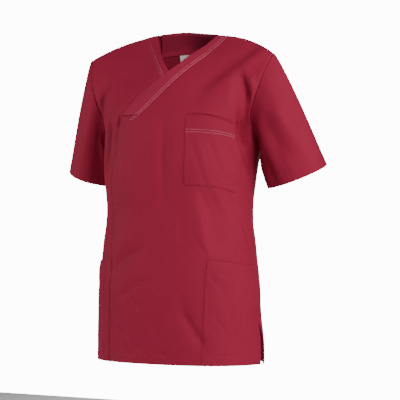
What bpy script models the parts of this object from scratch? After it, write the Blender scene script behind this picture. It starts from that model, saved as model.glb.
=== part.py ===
"""Wrap-front, short-sleeved scrub tunic, filled out as if it were worn.

Metres, +Z up, +X towards the wearer's left, -Y towards the front. The origin is
the base of the neck, midway between the two high shoulder points.

The body is one smooth form. Each level of it is a row from the middle of the
front or back to the side seam or armhole, and each panel is a grid of points on
those rows with a cloth wall laid inside them. What is sewn on a panel is made
from the panel's own points, moved outwards.
"""

from collections import namedtuple
from functools import lru_cache

import bpy
import numpy as np

# ---- driving sizes -------------------------------------------------------
CLOTH = 0.0012
SEAM_GAP = 0.0003
HALF_GAP = SEAM_GAP / 2
SLEEVE_GAP = 0.0007
LAYER = CLOTH + SEAM_GAP
UNDER_WRAP = 0.0035
UNDER_FADE = 0.018
UNDER_MARGIN = 0.006
NECK_HALF_WIDTH = 0.077
NECK_BACK_DEPTH = 0.052
NECK_BACK_RISE = 0.0064
NECK_SOFTEN = 1.3
NECK_LEAN = 0.115
NECK_LEAN_WIDTH = 0.075
WRAP_BULGE_WIDTH = 0.060
VENT_TOP = 0.155
VENT_SPREAD = 0.011
VENT_BACK = 0.006
VENT_FRONT = 0.005
VENT_CURL = 2.45
VENT_REACH = 6
POCKET_GAPE = 0.003
POCKET_GAPE_START = 0.6
TOP_TRIM = 0.00035
YOKE_TRIM = 0.0004
SIDE_STRIP_INSIDE = 0.06
YOKE_FAN_END = -0.19
UNDER_START = (0.788, 0.828)
NEAR = 0.002
SLEEVE_ROWS = 9
FACING_ROWS = 3
LABEL_ROWS = 2
LABEL_SIDES = (-0.060, 0.000)
LABEL_HANG = 0.004

UNDERARM = 0.74
YOKE_SEAM = 0.833
TOP = 1.0
OTHER = {"front": "back", "back": "front"}

BURGUNDY = (0.305, 0.022, 0.052, 1.0)
BURGUNDY_INSIDE = (0.20, 0.016, 0.038, 1.0)
LABEL_WHITE = (0.78, 0.77, 0.76, 1.0)
COLOURS = {"neck_label": LABEL_WHITE, "back_neck_facing": BURGUNDY_INSIDE}
SHARP_ANGLE = 40

# A row of the body: its end at the side seam or armhole, its middle point, how
# far round it turns in degrees, and how flat its middle is.
Row = namedtuple("Row", "t edge_x edge_y edge_z mid_y mid_z turn flat")

FRONT_ROWS = (
    Row(0.00, 0.201, -0.028, -0.7470, -0.166, -0.7450, 90, 1.15),
    Row(0.22, 0.198, -0.030, -0.600, -0.169, -0.6000, 90, 1.15),
    Row(0.40, 0.186, -0.032, -0.480, -0.163, -0.4800, 90, 1.15),
    Row(0.52, 0.178, -0.028, -0.400, -0.160, -0.4000, 90, 1.15),
    Row(0.64, 0.184, -0.020, -0.320, -0.160, -0.3200, 90, 1.30),
    Row(0.74, 0.195, -0.014, -0.250, -0.156, -0.2500, 85, 1.15),
    Row(0.83, 0.193, -0.054, -0.190, -0.144, -0.1850, 64, 1.15),
    Row(0.88, 0.208, -0.062, -0.143, -0.115, -0.1350, 54, 1.10),
    Row(0.92, 0.221, -0.060, -0.108, -0.077, -0.0880, 44, 1.05),
    Row(0.96, 0.230, -0.046, -0.073, -0.044, -0.0435, 34, 1.15),
    Row(1.00, 0.238, -0.028, -0.044, +0.009, +0.0118, 22, 1.30),
)

BACK_ROWS = (
    Row(0.00, 0.201, -0.028, -0.7470, 0.100, -0.7480, 90, 1.15),
    Row(0.22, 0.198, -0.030, -0.600, 0.095, -0.6000, 90, 1.08),
    Row(0.40, 0.186, -0.032, -0.480, 0.089, -0.4800, 90, 1.15),
    Row(0.52, 0.178, -0.028, -0.400, 0.084, -0.4000, 90, 1.15),
    Row(0.64, 0.184, -0.020, -0.320, 0.090, -0.3200, 90, 1.15),
    Row(0.74, 0.195, -0.014, -0.250, 0.098, -0.2500, 88, 1.15),
    Row(0.83, 0.200, +0.030, -0.190, 0.098, -0.1800, 60, 1.15),
    Row(0.88, 0.212, +0.032, -0.143, 0.094, -0.1250, 52, 1.10),
    Row(0.92, 0.223, +0.024, -0.108, 0.086, -0.0780, 44, 1.05),
    Row(0.96, 0.230, +0.006, -0.064, 0.062, -0.0325, 34, 1.15),
    Row(1.00, 0.238, -0.028, -0.044, 0.009, +0.0118, 22, 1.30),
)

# How far a row has risen towards the neck at the back, and how far the wrap
# stands forward of the chest at the front.
Shape = namedtuple("Shape", "t neck wrap")
SHAPES = (
    Shape(0.00, 0.00, 0.000),
    Shape(0.84, 0.00, 0.000),
    Shape(0.92, 0.15, 0.020),
    Shape(0.96, 0.50, 0.022),
    Shape(1.00, 1.00, 0.000),
)

# Distances round the front from its middle, wearer's left positive: the edges
# of the two neck bands, over and under.
Band = namedtuple("Band", "t over_seam over_edge under_seam under_edge")
BANDS = (
    Band(0.833, -0.0480, -0.1010, +0.0620, +0.0900),
    Band(0.860, -0.0190, -0.0790, +0.0395, +0.0670),
    Band(0.880, +0.0010, -0.0620, +0.0220, +0.0500),
    Band(0.900, +0.0200, -0.0340, +0.0040, +0.0310),
    Band(0.915, +0.0335, -0.0100, -0.0130, +0.0150),
    Band(0.940, +0.0570, +0.0205, -0.0400, -0.0110),
    Band(0.960, +0.0790, +0.0390, -0.0640, -0.0330),
    Band(0.980, +0.0950, +0.0620, -0.0900, -0.0570),
    Band(1.000, +0.1110, +0.0800, -0.1110, -0.0800),
)

# Lines down the big front panel, as distances round it. Above the yoke seam the
# corner line runs up the band's seam.
Line = namedtuple("Line", "t seam corner pocket_in pocket_out")
LINES = (
    Line(0.000, -0.1260, -0.0600, 0.1190, 0.2000),
    Line(0.356, -0.1220, -0.0580, 0.1300, 0.2000),
    Line(0.607, -0.1260, -0.0520, 0.0770, 0.1960),
    Line(0.740, -0.1080, -0.0500, 0.0760, 0.1940),
    Line(0.833, -0.1010, -0.0480, 0.0735, 0.1900),
    Line(1.000, -0.1010, +0.1110, 0.1500, 0.2150),
)

# Levels of the grid: how many rows lead up to each, and how far it drops at the
# chest pocket's outer edge and at the side, and how far the drop bends outwards.
Level = namedtuple("Level", "t rows drop_out drop_edge")
LEVELS = (
    Level(0.000, 0, 0.000, 0.000),
    Level(0.155, 3, 0.000, 0.000),
    Level(0.356, 4, 0.012, 0.024),
    Level(0.607, 6, 0.025, 0.000),
    Level(0.740, 3, 0.010, 0.000),
    Level(0.833, 3, 0.030, 0.000),
    Level(1.000, 12, 0.000, 0.000),
)
DROP_BENDS = ((0.356, 0.607), (1.0, 2.6))
HIP_POCKET_LEVEL, CHEST_POCKET_LEVEL, YOKE_LEVEL = 2, 3, 5
LEFT_COLUMNS = (2, 5, 5, 3)
RIGHT_COLUMNS = (6, 6)
BACK_COLUMNS = (6, 4, 3, 2, 6)
BAND_COLUMNS = 2

# Broad folds: from one place to another, how wide, and how high (a trough is
# negative). Places are the distance round the panel and the height.
Fold = namedtuple("Fold", "panel s0 z0 s1 z1 width rise")
FOLDS = (
    Fold("front", +0.208, -0.062, +0.092, -0.136, 0.024, -0.005),
    Fold("front", +0.205, -0.098, +0.120, -0.160, 0.024, +0.004),
    Fold("front", +0.180, -0.112, +0.218, -0.244, 0.016, -0.008),
    Fold("front", -0.182, -0.115, -0.212, -0.230, 0.016, -0.007),
    Fold("front", +0.135, -0.365, +0.158, -0.480, 0.020, -0.0035),
    Fold("front", +0.094, -0.365, +0.130, -0.500, 0.022, +0.0025),
    Fold("front", +0.020, -0.196, +0.026, -0.390, 0.016, -0.0028),
    Fold("front", +0.074, -0.630, +0.124, -0.700, 0.015, -0.0028),
    Fold("front", -0.031, -0.480, -0.114, -0.540, 0.024, -0.004),
    Fold("front", -0.146, -0.200, -0.160, -0.290, 0.018, -0.005),
    Fold("back", +0.182, -0.130, +0.205, -0.240, 0.022, -0.007),
    Fold("back", -0.182, -0.130, -0.205, -0.240, 0.022, -0.007),
    Fold("back", +0.060, -0.360, +0.120, -0.500, 0.026, -0.005),
    Fold("back", -0.075, -0.330, -0.105, -0.480, 0.026, -0.005),
    Fold("back", -0.010, -0.400, -0.020, -0.640, 0.024, +0.004),
)
FOLD_END = 0.03
EDGE_CALM = 0.022
TOP_CALM = 0.05

# A sleeve: its cuff's middle, how far it hangs out and back in degrees, its
# cuff's half sizes, and how far it keeps its first direction at top and underarm.
Sleeve = namedtuple(
    "Sleeve", "cuff_x cuff_y cuff_z out back half_wide half_deep top low"
)
SLEEVES = {
    "left": Sleeve(0.282, 0.004, -0.322, 17, 18, 0.074, 0.056, 0.03, 0.05),
    "right": Sleeve(0.258, 0.024, -0.323, 17, 11, 0.069, 0.056, 0.025, 0.05),
}
SLEEVE_TOP_DIRECTION = (0.76, 0.05, -0.65)
SLEEVE_LOW_LIFT = (0.30, 0.0, 0.0)
SLEEVE_FULLNESS = 0.25
CUFF_REACH = 0.10


# ---- numbers -------------------------------------------------------------
def unit(v):
    """Vectors scaled to length one."""
    return v / np.maximum(np.linalg.norm(v, axis=-1, keepdims=True), 1e-12)


def ease(x):
    """0 to 1, level at both ends."""
    x = np.clip(x, 0.0, 1.0)
    return x * x * (3 - 2 * x)


def column(table, name, t):
    """A column of a table at t, in straight steps."""
    return np.interp(t, [r.t for r in table], [getattr(r, name) for r in table])


def smooth_row(table, t):
    """A row of a table at t, on curves that don't overshoot the rows."""
    rows = np.array(table, float)
    x, y = rows[:, 0], rows[:, 1:]
    step = np.diff(x)
    slope = np.diff(y, axis=0) / step[:, None]
    tangent = np.zeros_like(y)
    tangent[0], tangent[-1] = slope[0], slope[-1]
    w1 = (2 * step[1:] + step[:-1])[:, None]
    w2 = (step[1:] + 2 * step[:-1])[:, None]
    same = slope[:-1] * slope[1:] > 0
    before = np.where(same, slope[:-1], 1.0)
    after = np.where(same, slope[1:], 1.0)
    tangent[1:-1] = np.where(same, (w1 + w2) / (w1 / before + w2 / after), 0.0)
    i = int(np.clip(np.searchsorted(x, t, side="right") - 1, 0, len(x) - 2))
    u, h = (t - x[i]) / step[i], step[i]
    return (
        (2 * u**3 - 3 * u**2 + 1) * y[i]
        + (u**3 - 2 * u**2 + u) * h * tangent[i]
        + (3 * u**2 - 2 * u**3) * y[i + 1]
        + (u**3 - u**2) * h * tangent[i + 1]
    )


# ---- the body form -------------------------------------------------------
@lru_cache(maxsize=None)
def half_row(side, t):
    """Arc lengths and points of a row, from its middle to the wearer's left."""
    table = FRONT_ROWS if side == "front" else BACK_ROWS
    mid_y, mid_z, turn, flat = smooth_row(table, t)[3:]
    below = [row for row in table if row.t <= UNDERARM + 1e-9]
    above = [row for row in table if row.t >= UNDERARM - 1e-9]
    edge_x, edge_y, edge_z = smooth_row(below if t <= UNDERARM else above, t)[:3]
    last = np.radians(turn)
    angle = np.linspace(0.0, last, 161)
    x = edge_x * np.sin(angle) / np.sin(last)
    inward = 1 - ((1 - np.cos(angle)) / (1 - np.cos(last))) ** flat
    y = edge_y + (mid_y - edge_y) * inward
    z = edge_z + (mid_z - edge_z) * inward
    neck = column(SHAPES, "neck", t)
    down_vent = np.clip((VENT_TOP - t) / VENT_TOP, 0.0, 1.0)
    spread = np.sin(VENT_CURL * down_vent) * (angle / last) ** VENT_REACH
    if side == "back":
        wide = NECK_HALF_WIDTH * (1 + NECK_SOFTEN * (1 - neck))
        round_neck = np.clip(1 - (x / wide) ** 2, 0.0, 1.0) ** (1.5 - neck)
        y = y + NECK_BACK_DEPTH * neck * round_neck
        z = z + NECK_BACK_RISE * neck * round_neck
        x = x + VENT_SPREAD * spread
        y = y + VENT_BACK * spread
    else:
        x = x + VENT_FRONT * spread
        y = y - column(SHAPES, "wrap", t) * np.exp(-((x / WRAP_BULGE_WIDTH) ** 2))
    points = np.stack([x, y, z], -1)
    steps = np.linalg.norm(np.diff(points, axis=0), axis=1)
    return np.concatenate([[0.0], np.cumsum(steps)]), points


def edge_length(side, t):
    """Distance round a row from its middle to its end."""
    return half_row(side, float(t))[0][-1]


def plain_point(side, s, t):
    """The point at distance s round the row t."""
    length, points = half_row(side, float(t))
    x, y, z = (np.interp(abs(s), length, points[:, i]) for i in range(3))
    x = np.copysign(x, s)
    lean = NECK_LEAN * x * np.exp(-((x / NECK_LEAN_WIDTH) ** 2))
    return np.array([x, y, z - lean * column(SHAPES, "neck", t)])


def plain_normal(side, s, t):
    """The outward normal of the plain form."""
    length = edge_length(side, t)
    s0, s1 = max(s - 0.004, -length), min(s + 0.004, length)
    t0, t1 = max(t - 0.006, 0.0), min(t + 0.006, TOP)
    along = plain_point(side, s1, t) - plain_point(side, s0, t)
    up = plain_point(side, s, t1) - plain_point(side, s, t0)
    return unit(np.cross(along, up)) * (1 if side == "front" else -1)


def fold_rise(side, s, t, z):
    """How far the broad folds move a point outwards."""
    rise = 0.0
    for fold in FOLDS:
        if fold.panel != side:
            continue
        start = np.array([fold.s0, fold.z0])
        run = np.array([fold.s1, fold.z1]) - start
        length = np.linalg.norm(run)
        along = (np.array([s, z]) - start) @ run / length
        off = np.cross(run / length, np.array([s, z]) - start)
        ends = ease((along + FOLD_END) / (2 * FOLD_END)) * ease(
            (length + FOLD_END - along) / (2 * FOLD_END)
        )
        rise += fold.rise * ends * np.exp(-((off / fold.width) ** 2))
    calm = ease((edge_length(side, t) - abs(s)) / EDGE_CALM) * ease((TOP - t) / TOP_CALM)
    return rise * calm


def body(side, s, t):
    """A point of the folded form."""
    point = plain_point(side, s, t)
    return point + plain_normal(side, s, t) * fold_rise(side, s, t, point[2])


# ---- the sleeves' form ---------------------------------------------------
def sleeve_frame(sleeve):
    """The sleeve's axis and its cuff's outward and forward directions."""
    out, back = np.radians(sleeve.out), np.radians(sleeve.back)
    axis = unit(
        np.array(
            [np.sin(out), np.sin(back) * np.cos(out), -np.cos(out) * np.cos(back)]
        )
    )
    forward = np.array([0.0, -1.0, 0.0])
    forward = unit(forward - axis * (forward @ axis))
    outward = np.cross(forward, axis)
    return axis, outward * np.sign(outward[0]), forward


def armhole_levels():
    """(side, t, round) for each point of the armhole, round from 0 to 1."""
    up = [t for t in edge_levels() if t >= UNDERARM - 1e-9]
    share = [(TOP - t) / (TOP - UNDERARM) / 2 for t in up]
    front = [("front", t, r) for t, r in zip(up[::-1], share[::-1])]
    back = [("back", t, 1 - r) for t, r in zip(up[1:-1], share[1:-1])]
    return front + back


def sleeve_start(sleeve, around):
    """The direction in which the sleeve leaves the armhole, and for how far."""
    axis, _, _ = sleeve_frame(sleeve)
    turn = 2 * np.pi * around
    top = (1 + np.cos(turn)) / 2
    direction = unit(
        top * np.array(SLEEVE_TOP_DIRECTION)
        + (1 - top) * (axis + np.array(SLEEVE_LOW_LIFT))
        + SLEEVE_FULLNESS * np.sin(turn) * np.array([0.0, -1.0, 0.0])
    )
    return direction, sleeve.low + (sleeve.top - sleeve.low) * top


def armhole_point(side, t):
    """A point of the armhole, past whose ends the other side goes on."""
    if t < UNDERARM or t > TOP:
        side = OTHER[side]
        t = 2 * (UNDERARM if t < UNDERARM else TOP) - t
    return plain_point(side, edge_length(side, t), t)


def edge_direction(side, t):
    """The direction round the armhole at a point of it."""
    step = 0.01 if side == "back" else -0.01
    return unit(armhole_point(side, t + step) - armhole_point(side, t - step))


def sleeve_point(sleeve, side, t, around, down):
    """A point of the sleeve on the wearer's left, from armhole to cuff."""
    axis, outward, forward = sleeve_frame(sleeve)
    turn = 2 * np.pi * around
    start = plain_point(side, edge_length(side, t), t)
    direction, reach = sleeve_start(sleeve, around)
    edge = edge_direction(side, t)
    start = start + unit(direction - edge * (direction @ edge)) * SLEEVE_GAP
    cuff = (
        np.array([sleeve.cuff_x, sleeve.cuff_y, sleeve.cuff_z])
        + sleeve.half_wide * np.cos(turn) * outward
        + sleeve.half_deep * np.sin(turn) * forward
    )
    near, far = start + direction * reach, cuff - axis * CUFF_REACH
    v = down
    return (
        (1 - v) ** 3 * start
        + 3 * (1 - v) ** 2 * v * near
        + 3 * (1 - v) * v**2 * far
        + v**3 * cuff
    )


def sleeve_start_normal(sleeve, side, t, around):
    """The sleeve's outward normal at the armhole."""
    direction, _ = sleeve_start(sleeve, around)
    return unit(np.cross(edge_direction(side, t), direction))


# ---- directions of the walls at seams ------------------------------------
def seam_direction(side, s, t, sleeve_name):
    """The direction of a panel's wall, shared by every piece that meets there."""
    edge = edge_length(side, t)
    at_edge = abs(s) > edge - NEAR
    at_shoulder = side == "front" or abs(s) > back_neck_length(t) - NEAR
    at_top = t > TOP - NEAR and at_shoulder
    normals = [plain_normal(side, s, t)]
    other = OTHER[side]
    if at_top:
        x = abs(plain_point(side, s, t)[0])
        s_other = np.copysign(length_at_x(other, x, TOP), s)
        normals.append(plain_normal(other, s_other, TOP))
    if at_edge and VENT_TOP - 1e-9 < t <= UNDERARM + 1e-9:
        normals.append(plain_normal(other, np.copysign(edge_length(other, t), s), t))
    if at_edge and t >= UNDERARM - 1e-9:
        share = (TOP - t) / (TOP - UNDERARM) / 2
        around = share if side == "front" else 1 - share
        n = sleeve_start_normal(SLEEVES[sleeve_name], side, min(t, TOP), around)
        normals.append(n * np.array([np.copysign(1.0, s), 1.0, 1.0]))
    return unit(np.sum(normals, axis=0))


def length_at_x(side, x, t):
    """Distance round a row to where it is x from the middle plane."""
    length, points = half_row(side, float(t))
    return float(np.interp(x, points[:, 0], length))


def back_neck_length(t):
    """Distance round the back to the line below the high shoulder point."""
    return length_at_x("back", NECK_HALF_WIDTH, t)


def under_depth(s, t):
    """How far the under layer has gone in beneath the wrap."""
    over = column(BANDS, "over_edge", t)
    share = ease((s - over + UNDER_MARGIN) / UNDER_FADE + 1.0)
    start, full = UNDER_START
    return UNDER_WRAP * share * ease((t - start) / (full - start))


# ---- grids ---------------------------------------------------------------
def levels():
    """(t, drop at the pocket's outer edge, drop at the side) of each grid row."""
    out = [(LEVELS[0].t, LEVELS[0].drop_out, LEVELS[0].drop_edge)]
    for low, high in zip(LEVELS, LEVELS[1:]):
        for i in range(1, high.rows + 1):
            u = i / high.rows
            start = np.array([low.t, low.drop_out, low.drop_edge])
            end = np.array([high.t, high.drop_out, high.drop_edge])
            out.append(tuple(float(x) for x in start + (end - start) * u))
    return out


def row_number(level):
    """The grid row of a level in LEVELS."""
    return sum(x.rows for x in LEVELS[: level + 1])


def edge_levels():
    """The t of each grid row at the side seam or armhole."""
    return [t - drop for t, _, drop in levels()]


def dropped(t, drop_out, drop_edge, s):
    """A row's t at distance s round the front."""
    inner = column(LINES, "pocket_in", t)
    outer = column(LINES, "pocket_out", t)
    edge = edge_length("front", t)
    across = np.clip((abs(s) - inner) / (outer - inner), 0.0, 1.0)
    beyond = np.clip((abs(s) - outer) / (edge - outer), 0.0, 1.0)
    bend = np.interp(t, *DROP_BENDS)
    drop = drop_out * across**bend + (drop_edge - drop_out) * beyond
    return float(np.clip(t - drop, 0.0, TOP))


def spaced(marks, counts):
    """Places between marks, counts[i] steps from each to the next."""
    out = [marks[0]]
    for a, b, n in zip(marks, marks[1:], counts):
        out += [a + (b - a) * i / n for i in range(1, n + 1)]
    return out


def two_sided(quad, count):
    """A quad of the outer face and its partner inside, cut on one diagonal."""
    a, b, c, d = quad
    outer = [[a, b, c], [a, c, d]]
    return outer + [[i + count for i in face[::-1]] for face in outer]


def rim(verts, a, b, count):
    """The edge of a wall from a to b, cut from its lower outer corner."""
    c, d = a + count, b + count
    if verts[a][2] < verts[b][2]:
        return [[b, a, d], [a, c, d]]
    return [[b, a, c], [b, c, d]]


def piece(name, verts, faces):
    """A smooth-shaded piece of cloth."""
    mesh = bpy.data.meshes.new(name)
    mesh.from_pydata([tuple(v) for v in verts], [], faces)
    mesh.shade_smooth()
    mesh.set_sharp_from_angle(angle=np.radians(SHARP_ANGLE))
    thing = bpy.data.objects.new(name, mesh)
    bpy.context.collection.objects.link(thing)
    return thing


def wall(name, points, inward, used):
    """A closed cloth wall on the used cells of a grid of outer points."""
    need = np.zeros(points.shape[:2], bool)
    for i, j in np.argwhere(used):
        need[i : i + 2, j : j + 2] = True
    count = int(need.sum())
    number = np.full(need.shape, -1)
    number[need] = np.arange(count)
    verts = np.concatenate([points[need], points[need] + inward[need] * CLOTH])
    faces, edges = [], set()
    for i, j in np.argwhere(used):
        corners = (i, j), (i, j + 1), (i + 1, j + 1), (i + 1, j)
        quad = [int(number[corner]) for corner in corners]
        faces += two_sided(quad, count)
        edges.update(zip(quad, quad[1:] + quad[:1]))
    for a, b in sorted(edges):
        if (b, a) not in edges:
            faces += rim(verts, a, b, count)
    return piece(name, verts, faces)


Grid = namedtuple("Grid", "points inward used")


def laid(side, places, depth=None):
    """Points and inward directions of (s, t) places, set in by a depth."""
    points, inward = [], []
    for row in places:
        into = [-seam_direction(side, s, t, "left" if s > 0 else "right") for s, t in row]
        depths = [depth(s, t) if depth else 0.0 for s, t in row]
        points.append([body(side, s, t) + v * d for (s, t), v, d in zip(row, into, depths)])
        inward.append(into)
    return np.array(points), np.array(inward)


def moved(grid, out):
    """A grid's points moved outwards by a distance, or by one for each point."""
    distance = np.broadcast_to(np.asarray(out, float), grid.points.shape[:2])
    return grid.points - grid.inward * distance[..., None]


def block(grid, rows, columns):
    """A part of a grid between two rows and two columns."""
    part = (slice(rows[0], rows[1] + 1), slice(columns[0], columns[1] + 1))
    cells = np.ones((rows[1] - rows[0], columns[1] - columns[0]), bool)
    return Grid(grid.points[part], grid.inward[part], cells)


def all_cells(points):
    """Every cell of a grid."""
    return np.ones((len(points) - 1, len(points[0]) - 1), bool)


# ---- panels --------------------------------------------------------------
def front_left_grid():
    """The big front panel, with its corner that wraps over to the right."""
    places = []
    for t, drop_out, drop_edge in levels():
        above = t > YOKE_SEAM + 1e-9
        corner = column(BANDS, "over_seam", t) if above else column(LINES, "corner", t)
        marks = [
            column(LINES, "seam", t) + HALF_GAP,
            corner + (HALF_GAP if above else 0.0),
            column(LINES, "pocket_in", t),
            column(LINES, "pocket_out", t),
            edge_length("front", t),
        ]
        row = []
        for s in spaced(marks, LEFT_COLUMNS):
            at = dropped(t, drop_out, drop_edge, s) if s > 0 else t
            at = min(at, TOP - TOP_TRIM)
            row.append((min(s, edge_length("front", at) - HALF_GAP), at))
        row[-1] = (edge_length("front", row[-1][1]) - HALF_GAP, row[-1][1])
        places.append(row)
    points, inward = laid("front", places)
    used = all_cells(points)
    used[row_number(YOKE_LEVEL) :, : LEFT_COLUMNS[0]] = False
    return Grid(points, inward, used)


def front_right_grid():
    """The side strip and the yoke part that runs on under the wrap."""
    places = []
    for t, drop_out, drop_edge in levels():
        above = t > YOKE_SEAM - 1e-9
        seam = column(LINES, "seam", t) - HALF_GAP
        inner = seam + SIDE_STRIP_INSIDE
        if above:
            inner = column(BANDS, "under_seam", t) - HALF_GAP
            seam += (YOKE_FAN_END - seam) * (t - YOKE_SEAM) / (TOP - YOKE_SEAM)
        marks = [-edge_length("front", t), seam, inner]
        row = []
        for s in spaced(marks, RIGHT_COLUMNS):
            at = dropped(t, 0.0, drop_edge, s) if s < 0 else t
            at = min(at, TOP - TOP_TRIM)
            row.append((max(s, HALF_GAP - edge_length("front", at)), at))
        row[0] = (HALF_GAP - edge_length("front", row[0][1]), row[0][1])
        places.append(row)
    points, inward = laid("front", places, under_depth)
    used = all_cells(points)
    used[: row_number(YOKE_LEVEL), RIGHT_COLUMNS[0] :] = False
    return Grid(points, inward, used)


def back_grid():
    """The back, whose upper edge is the shoulder seams and the back neck."""
    places = []
    for t in edge_levels():
        t = min(t, TOP - TOP_TRIM)
        neck, edge = back_neck_length(t), edge_length("back", t) - HALF_GAP
        marks = [edge, neck, LABEL_SIDES[1], LABEL_SIDES[0], -neck, -edge]
        places.append([(s, t) for s in spaced(marks, BACK_COLUMNS)])
    points, inward = laid("back", places)
    return Grid(points, inward, all_cells(points))


def band_grid(layer, depth=None):
    """A neck band, over or under, from its yoke end up to the shoulder."""
    places = []
    for t, _, _ in levels():
        if t > YOKE_SEAM - 1e-9:
            seam = column(BANDS, layer + "_seam", t)
            edge = column(BANDS, layer + "_edge", t)
            ends = sorted([seam - np.copysign(HALF_GAP, seam - edge), edge])
            at = min(max(t, YOKE_SEAM + YOKE_TRIM), TOP - TOP_TRIM)
            places.append([(s, at) for s in spaced(ends, (BAND_COLUMNS,))])
    points, inward = laid("front", places, depth)
    return Grid(points, inward, all_cells(points))


def facing_grid(back):
    """The back neck facing, on the inside of the back's own points."""
    top = row_number(len(LEVELS) - 1)
    ends = BACK_COLUMNS[0], sum(BACK_COLUMNS[:4])
    part = block(back, (top - FACING_ROWS, top), ends)
    return Grid(moved(part, -LAYER), part.inward, part.used)


def label_grid(back):
    """The blank label that hangs below the facing."""
    top = row_number(len(LEVELS) - 1) - FACING_ROWS
    ends = sum(BACK_COLUMNS[:2]), sum(BACK_COLUMNS[:3])
    part = block(back, (top - LABEL_ROWS, top), ends)
    points = moved(part, -LAYER)
    down = unit(points[-2] - points[-1])
    points[-1] += down * SEAM_GAP
    hang = np.linspace(LABEL_HANG, 0.0, LABEL_ROWS + 1)[:, None, None]
    return Grid(points + part.inward * hang, part.inward, part.used)


def sleeve_grid(name):
    """A sleeve as rings from the armhole to the cuff."""
    sleeve = SLEEVES[name]
    mirror = np.array([1.0 if name == "left" else -1.0, 1.0, 1.0])
    ring = armhole_levels()
    ring = ring + ring[:1]
    points = np.array(
        [
            [sleeve_point(sleeve, side, t, r, i / SLEEVE_ROWS) for side, t, r in ring]
            for i in range(SLEEVE_ROWS + 1)
        ]
    )
    points[:, -1] = points[:, 0]
    around = np.roll(points[:, :-1], -1, axis=1) - np.roll(points[:, :-1], 1, axis=1)
    down = np.gradient(points[:, :-1], axis=0)
    outward = unit(np.cross(around, down))
    for j, (side, t, r) in enumerate(ring[:-1]):
        s = edge_length(side, t)
        outward[0, j] = seam_direction(side, s, t, name)
    outward = np.concatenate([outward, outward[:, :1]], axis=1)
    return points * mirror, -outward * mirror


def tube(name, points, inward, flip):
    """A closed tubular wall whose last column of points is its first."""
    rows, columns = points.shape[0] - 1, points.shape[1] - 1
    outer, inward = points[:, :-1].reshape(-1, 3), inward[:, :-1].reshape(-1, 3)
    verts = np.concatenate([outer, outer + inward * CLOTH])
    count = len(outer)

    def at(i, j):
        return i * columns + j % columns

    faces = []
    for j in range(columns):
        for i in range(rows):
            quad = [at(i, j), at(i + 1, j), at(i + 1, j + 1), at(i, j + 1)]
            faces += two_sided(quad, count)
        faces += rim(verts, at(0, j + 1), at(0, j), count)
        faces += rim(verts, at(rows, j), at(rows, j + 1), count)
    if flip:
        faces = [face[::-1] for face in faces]
    return piece(name, verts, faces)


# ---- the garment ---------------------------------------------------------
def cloth_material(name, colour):
    """A plain woven cloth."""
    material = bpy.data.materials.new(name)
    material.use_nodes = True
    shader = material.node_tree.nodes["Principled BSDF"]
    shader.inputs["Base Color"].default_value = colour
    shader.inputs["Roughness"].default_value = 0.75
    shader.inputs["Metallic"].default_value = 0.0
    return material


def pocket(name, panel, rows, columns):
    """A patch pocket from its panel's points, a little proud at its mouth."""
    part = block(panel, rows, columns)
    high = np.linspace(0, 1, part.points.shape[0])[:, None]
    wide = np.linspace(0, 1, part.points.shape[1])[None, :]
    mouth = ease((high - POCKET_GAPE_START) / (1 - POCKET_GAPE_START))
    gape = POCKET_GAPE * mouth * np.sin(np.pi * wide)
    return wall(name, moved(part, LAYER + gape), part.inward, part.used)


def main():
    """Build every piece."""
    for thing in list(bpy.data.objects):
        bpy.data.objects.remove(thing, do_unlink=True)

    front_left, front_right, back = front_left_grid(), front_right_grid(), back_grid()
    left_band, right_band = band_grid("over"), band_grid("under", under_depth)
    facing, label = facing_grid(back), label_grid(back)

    pieces = [
        wall("front_left", *front_left),
        wall("front_right", *front_right),
        wall("back", *back),
        wall("neck_band_left", *left_band),
        wall("neck_band_right", *right_band),
        wall("back_neck_facing", *facing),
        wall("neck_label", *label),
    ]
    yoke, chest = row_number(YOKE_LEVEL), row_number(CHEST_POCKET_LEVEL)
    hip = row_number(HIP_POCKET_LEVEL)
    pocket_in = sum(LEFT_COLUMNS[:2])
    pocket_out = sum(LEFT_COLUMNS[:3])
    side = sum(LEFT_COLUMNS)
    pieces += [
        pocket("chest_pocket", front_left, (chest, yoke), (pocket_in, pocket_out)),
        pocket("hip_pocket_left", front_left, (0, hip), (pocket_in, side)),
        pocket("hip_pocket_right", front_right, (0, hip), (0, RIGHT_COLUMNS[0])),
    ]
    for name in SLEEVES:
        points, inward = sleeve_grid(name)
        pieces.append(tube("sleeve_" + name, points, inward, name == "left"))

    for thing in pieces:
        colour = COLOURS.get(thing.name, BURGUNDY)
        thing.data.materials.append(cloth_material("cloth_" + thing.name, colour))


main()
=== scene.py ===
"""A wrap-front, short-sleeved scrub tunic, filled out as if it were worn.

Metres, +Z up, +X towards the wearer's left, -Y towards the front. The cloth lies
on the same body form as the solids: each level of the body is a row from the
middle of the front or back to the side seam or armhole, and a place on a panel is
a distance round that row and a level. Seams, hems, creases and stitches are laid
on it, and their places are given in millimetres where that reads better.
"""

from __future__ import annotations

import logging
import math
from dataclasses import dataclass, field
from enum import Enum
from typing import ClassVar, Sequence

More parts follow.
